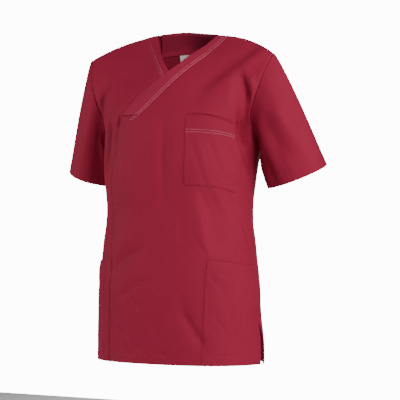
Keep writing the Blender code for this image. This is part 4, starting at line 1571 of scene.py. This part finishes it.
@dataclass
class Pocket(Piece):
    """A patch pocket, laid on its panel and a little proud at its mouth.

    Its outer edge is a line on the panel or, where it has none, the side seam, and
    then its bottom is the hem. The marks and drops say how far the outer end droops.
    """

    panel: BodyPanel
    hand: Hand
    levels: tuple[float, float]
    inner: Line
    outer: Line | None
    marks: tuple[float, ...]
    drops: tuple[float, ...]
    mouth: Sewn
    width: float
    step: float = 0.0028
    gape: float = 0.003
    gape_start: float = 0.6
    lip: float = 0.35
    lift: float = LAYER - 0.0003
    roll: float = 0.0004
    roll_reach: float = 0.0012
    welt_blend: float = 0.002
    level_start: float = 0.05
    row_ends: float = 0.01
    hem_row_end: float = 0.995

    @property
    def patch(self) -> bool:
        """Whether it is sewn down inside the panel, away from its edges."""
        return self.outer is not None

    @property
    def high(self) -> float:
        """Its height, near enough."""
        low, high = self.levels
        return float(height(high)) - float(height(low))

    def places(self, p: Array, q: Array) -> tuple[Array, Array]:
        """Distances and levels of places on the pocket.

        Args:
            p: Share of the way from the inner edge to the outer.
            q: Share of the way from the bottom to the mouth.

        Returns:
            Distances round the front and levels.
        """
        low, high = self.levels
        level = low + (high - low) * q
        drop, inner = np.interp(level, self.marks, self.drops), self.inner.at(level)
        if self.patch:
            return inner + (self.outer.at(level) - inner) * p, level - drop * p**CHEST_BEND
        droop = np.clip((p - self.level_start) / (1 - self.level_start), 0.0, 1.0)
        t = level - drop * droop
        return inner + (self.form.length(Side.FRONT, t) - HALF_GAP - inner) * p, t

    def surface(self, p: Array, q: Array) -> tuple[Array, Array]:
        """Points and outward directions of places on the pocket."""
        p, q = together(p, q)
        s, t = self.places(p, q)
        across, up, down = p * self.width, q * self.high, (1 - q) * self.high
        edge = POCKET_EDGE.relief(across, up)
        if self.patch:
            edge = edge + POCKET_EDGE.relief(self.width - across, up)
            edge = edge + POCKET_EDGE.relief(up, across)
        edge = edge * ease((down - self.mouth.welt) / self.welt_blend + 0.5)
        lips = np.interp(down, (0.0, self.mouth.welt), (self.lip, 1.0))
        opened = ease((q - self.gape_start) / (1 - self.gape_start)) * np.sin(np.pi * p) * lips
        rolled = bump(across, self.roll_reach) + bump(up, self.roll_reach) * self.patch
        out = self.lift + self.gape * opened + self.mouth.relief(down, across) + edge
        on_panel = self.panel.surface(s * self.hand.value, t)
        return moved(*on_panel, out - self.roll * rolled)

    def cloth(self) -> bpy.types.Object:
        """Makes the pocket."""
        wide, high, sewn = self.width, self.high, (0.0, *POCKET_EDGE.rows)
        across = (*sewn, *(wide - x for x in sewn)) if self.patch else sewn
        below = sewn if self.patch else (0.0, HEM.rows[0])
        rows = (*below, high, *(high - x for x in self.mouth.rows))
        p, q = np.meshgrid(shares(wide, self.step, across), shares(high, self.step, rows))
        s, t = self.places(p, q)
        sheet = Sheet(*self.surface(p, q), np.stack([s, height(t)], -1))
        return sheet.build(self.name, self.finishes.cloth)

    def sew(self) -> None:
        """Adds the rows along the pocket's edges, its mouth and the garment's hem."""
        wide, high = self.width, self.high
        for row in POCKET_EDGE.rows:
            up = np.linspace(row / high if self.patch else 0.0, 1.0, COUNT)
            self.toned.row(*self.surface(row / wide, up))
            if self.patch:
                self.toned.row(*self.surface(1 - row / wide, up))
                side = np.linspace(row / wide, 1 - row / wide, COUNT)
                self.toned.row(*self.surface(side, row / high))
        mouth = self.contrast if self.patch else self.toned
        for row in self.mouth.rows:
            along = np.linspace(self.row_ends, 1 - self.row_ends, COUNT)
            mouth.row(*self.surface(along, 1 - row / high))
        if not self.patch:
            full, top = np.linspace(0.0, 1.0, COUNT), self.levels[1]
            hem = HEM.rows[0] / HEM_PACE / top
            self.toned.row(*self.surface(full * self.hem_row_end, hem))
            vent = full * self.form.vent_top / top
            self.toned.row(*self.surface(1 - VENT_HEM.rows[0] / wide, vent))


@dataclass
class Facing(Piece):
    """The shaped facing inside the back neck."""

    low: float = 0.9584
    flare: float = 0.026
    drop: float = 0.057
    step: float = 0.0028
    columns: int = 90
    low_hem: float = 0.009
    low_hem_rise: float = 0.0004
    low_hem_step: float = 0.001
    pinch: float = 0.00055
    pinch_reach: float = 0.0025
    top_row: float = 0.0055
    low_row: float = 0.0020
    low_row_reach: float = 0.1

    def surface(self, s: Array, t: Array) -> tuple[Array, Array]:
        """Points of the facing's hidden side and directions away from the wearer."""
        s, t = together(s, t)
        pace = self.form.pace(Side.BACK, s, t)
        below, above = (TOP - t) * pace, (t - self.low) * pace
        relief = NECK_EDGE.relief(below, s)
        relief = relief - self.low_hem_rise * ease((self.low_hem - above) / self.low_hem_step)
        depth = LAYER - self.pinch * bump(below, self.pinch_reach) - relief
        return moved(*self.form.surface(Side.BACK, s, t), -depth)

    def cloth(self) -> bpy.types.Object:
        """Makes the facing."""
        rows = (0.0, self.drop - NECK_EDGE.rows[0], self.drop)
        t = self.low + (TOP_END - self.low) * shares(self.drop, self.step, rows)
        half = self.form.neck_half_width + self.flare * (TOP - t) / (TOP - self.low)
        edge = np.array([self.form.length_at_x(Side.BACK, x, level) for x, level in zip(half, t)])
        s = between([edge, -edge], (np.linspace(0.0, 1.0, self.columns),))
        level = np.broadcast_to(t[:, None], s.shape)
        sheet = Sheet(*self.surface(s, level), np.stack([s, height(level)], -1))
        # The facing's side towards the wearer is the lighter band cloth, painted light inside the
        # neck.
        return sheet.build(self.name, self.finishes.facing)

    def sew(self) -> None:
        """Adds the rows below the neck edge and along the lower edge."""
        top = TOP - self.top_row, self.form.neck_half_width
        bottom = self.low + self.low_row, self.low_row_reach
        for level, reach in (top, bottom):
            end = self.form.length_at_x(Side.BACK, reach, level)
            points, outward = self.surface(np.linspace(-end, end, COUNT), level)
            self.toned.row(points - outward * CLOTH, -outward)


@dataclass
class Label(Piece):
    """The blank woven label that hangs below the facing."""

    sides: tuple[float, float] = (-0.060, 0.0)
    levels: tuple[float, float] = (0.9306, 0.9581)
    hang: float = 0.004
    hang_bend: float = 1.3
    curl: float = 0.0008
    thick: float = 0.0005
    climb: float = 1.3
    rows: int = 18
    columns: int = 26

    def surface(self, s: Array, t: Array) -> tuple[Array, Array]:
        """Points of the label's hidden side and directions away from the wearer."""
        s, t = together(s, t)
        (left, right), (low, high) = self.sides, self.levels
        down = (high - t) / (high - low)
        curl = self.curl * np.sin(np.pi * (s - left) / (right - left)) * down
        depth = LAYER + self.hang * down**self.hang_bend + curl
        return moved(*self.form.surface(Side.BACK, s, t), -depth)

    def cloth(self) -> bpy.types.Object:
        """Makes the label."""
        t, s = np.linspace(*self.levels, self.rows), np.linspace(*self.sides, self.columns)
        s, level = np.meshgrid(s, t)
        sheet = Sheet(*self.surface(s, level), np.stack([s, level * self.climb], -1))
        return sheet.build(self.name, self.finishes.label, self.thick)


# ---- studio --------------------------------------------------------------
@dataclass(frozen=True)
class Lamp:
    """A soft square light aimed at the tunic.

    Its azimuth is in degrees from the front towards the wearer's left, its elevation
    in degrees above the middle of the tunic, and its power in watts.
    """

    name: str
    azimuth: float
    elevation: float
    distance: float
    size: float
    power: float


LAMPS = (
    Lamp("key", 58.0, 27.0, 3.2, 1.2, 101.0),
    Lamp("left", -68.0, 9.0, 3.2, 1.4, 61.0),
    Lamp("rim", 104.0, 6.0, 3.2, 1.4, 8.0),
    Lamp("back", 195.0, 10.0, 3.2, 1.8, 34.0),
)


@dataclass
class Studio:
    """The camera, the lights and the floor.

    The focal length and the place of the garment's axis are in pixels of a render
    of the width given.
    """

    azimuth: float = 28.0
    distance: float = 4.0
    height: float = -0.36
    focal: float = 1717.0
    render: float = 400.0
    axis_at: tuple[float, float] = (186.0, 193.0)
    floor: float = -1.20
    reach: float = 2.5
    air: float = 0.09
    backdrop: float = 12.5

    def camera(self) -> None:
        """Sets up the camera."""
        data = bpy.data.cameras.new("camera")
        data.sensor_width = 36.0
        data.lens = self.focal * data.sensor_width / self.render
        data.shift_x = (self.render / 2 - self.axis_at[0]) / self.render
        data.shift_y = -(self.render / 2 - self.axis_at[1]) / self.render
        camera = placed("camera", data)
        a = math.radians(self.azimuth)
        back = Vector((math.sin(a), -math.cos(a), 0.0))
        camera.location = back * self.distance + Vector((0, 0, self.height))
        camera.rotation_mode = "QUATERNION"
        camera.rotation_quaternion = (-back).to_track_quat("-Z", "Y")
        bpy.context.scene.camera = camera

    def light(self, lamp: Lamp) -> None:
        """Adds a light."""
        data = bpy.data.lights.new(lamp.name, "AREA")
        data.shape, data.size, data.energy = "SQUARE", lamp.size, lamp.power
        thing = placed(lamp.name, data)
        a, e = math.radians(lamp.azimuth), math.radians(lamp.elevation)
        way = Vector((math.sin(a) * math.cos(e), -math.cos(a) * math.cos(e), math.sin(e)))
        thing.location = Vector((0.0, 0.0, self.height)) + way * lamp.distance
        thing.rotation_mode = "QUATERNION"
        thing.rotation_quaternion = (-way).to_track_quat("-Z", "Y")

    def room(self) -> None:
        """Sets up the even light of the room."""
        world = bpy.data.worlds.new("studio")
        world.use_nodes = True
        tree = world.node_tree
        seen = tree.nodes.new("ShaderNodeLightPath")
        strength = tree.nodes.new("ShaderNodeMapRange")
        strength.inputs["To Min"].default_value = self.air
        strength.inputs["To Max"].default_value = self.backdrop
        tree.links.new(seen.outputs["Is Camera Ray"], strength.inputs["Value"])
        background = tree.nodes["Background"]
        background.inputs["Color"].default_value = (1.0, 1.0, 1.0, 1.0)
        tree.links.new(strength.outputs[0], background.inputs["Strength"])
        bpy.context.scene.world = world

    def stand(self) -> None:
        """Makes the floor."""
        r, z = self.reach, self.floor
        mesh = bpy.data.meshes.new("floor")
        mesh.from_pydata([(-r, -r, z), (r, -r, z), (r, r, z), (-r, r, z)], [], [(0, 1, 2, 3)])
        graph = Graph("pale_floor")
        graph.hold({"Base Color": (0.92, 0.92, 0.92, 1.0), "Roughness": 0.8})
        mesh.materials.append(graph.material)
        placed("floor", mesh)

    def build(self) -> None:
        """Sets up everything."""
        self.camera()
        for lamp in LAMPS:
            self.light(lamp)
        self.room()
        self.stand()


# ---- the tunic -----------------------------------------------------------
def make_body(*kit: BodyForm | Finishes) -> tuple[FrontLeft, FrontRight]:
    """Builds the panels and the neck bands, and gives back the front panels."""
    left = FrontLeft(*kit, "panel_front_left", "front_left")
    left.build((0.40, 0.79), 0.258, "hung", ["back", "neck_band_left"])
    right = FrontRight(*kit, "panel_front_right", "front_right")
    right.build((0.32, 0.79), 0.123, "hung", ["back", "neck_band_right"])
    back = Back(*kit, "panel_back", "back")
    back.build((0.55, 0.79), 0.380, "hung", ["front_left", "front_right"])
    over = Hand.LEFT, OVER_SEAM, OVER_EDGE
    over_band = NeckBand(*kit, "band_cloth_left", "neck_band_left", *over)
    over_band.build((0.040, 0.33), 0.0110, "stretched", ["front_left"])
    under = Hand.RIGHT, UNDER_SEAM, UNDER_EDGE
    under_band = NeckBand(*kit, "band_cloth_right", "neck_band_right", *under, sink=0.00018)
    under_band.build((0.035, 0.27), 0.0074, "stretched", ["front_right"])
    return left, right


def make_pockets(left: FrontLeft, right: FrontRight) -> None:
    """Builds the chest pocket and the hip pockets on the front panels."""
    kit = left.form, left.finishes
    chest = Pocket(
        *kit, "pocket_chest", "chest_pocket", left, Hand.LEFT, (0.607, YOKE_SEAM),
        POCKET_IN, POCKET_OUT, CHEST_MARKS, CHEST_DROPS, CHEST_MOUTH, 0.122,
    )
    chest.build((0.13, 0.17), 0.0190, "stretched", ["front_left"])
    for panel, hand, inner in ((left, Hand.LEFT, POCKET_IN), (right, Hand.RIGHT, RIGHT_POCKET_IN)):
        side = hand.name.lower()
        hip = Pocket(
            *kit, "pocket_hip_" + side, "hip_pocket_" + side, panel, hand, (0.0, HIP_TOP),
            inner, None, HIP_MARKS, HIP_DROPS, HIP_MOUTH, 0.150,
        )
        hip.build((0.17, 0.26), 0.0345, "stretched", [panel.node])


def main() -> None:
    """Builds every piece."""
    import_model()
    form = BodyForm(ALL_CREASES)
    kit = form, Finishes()
    sides = [shape.hand.name.lower() for shape in SLEEVES]
    sleeves = [
        Sleeve(*kit, "sleeve_cloth_" + side, "sleeve_" + side, shape)
        for side, shape in zip(sides, SLEEVES)
    ]
    form.meet(sleeves[0])
    fronts = make_body(*kit)
    for side, sleeve in zip(sides, sleeves):
        sleeve.build((0.46, 0.27), 0.074, "hung", ["front_" + side])
    facing = Facing(*kit, "facing_cloth", "back_neck_facing")
    facing.build((0.21, 0.062), 0.0118, "stretched", ["back"])
    label = Label(*kit, "label_tape", "neck_label")
    label.build((0.062, 0.033), 0.0020, "hung", ["back_neck_facing"])
    make_pockets(*fronts)
    Studio().build()


if __name__ == "__main__":
    logging.basicConfig(level=logging.INFO, format="%(message)s")
    main()
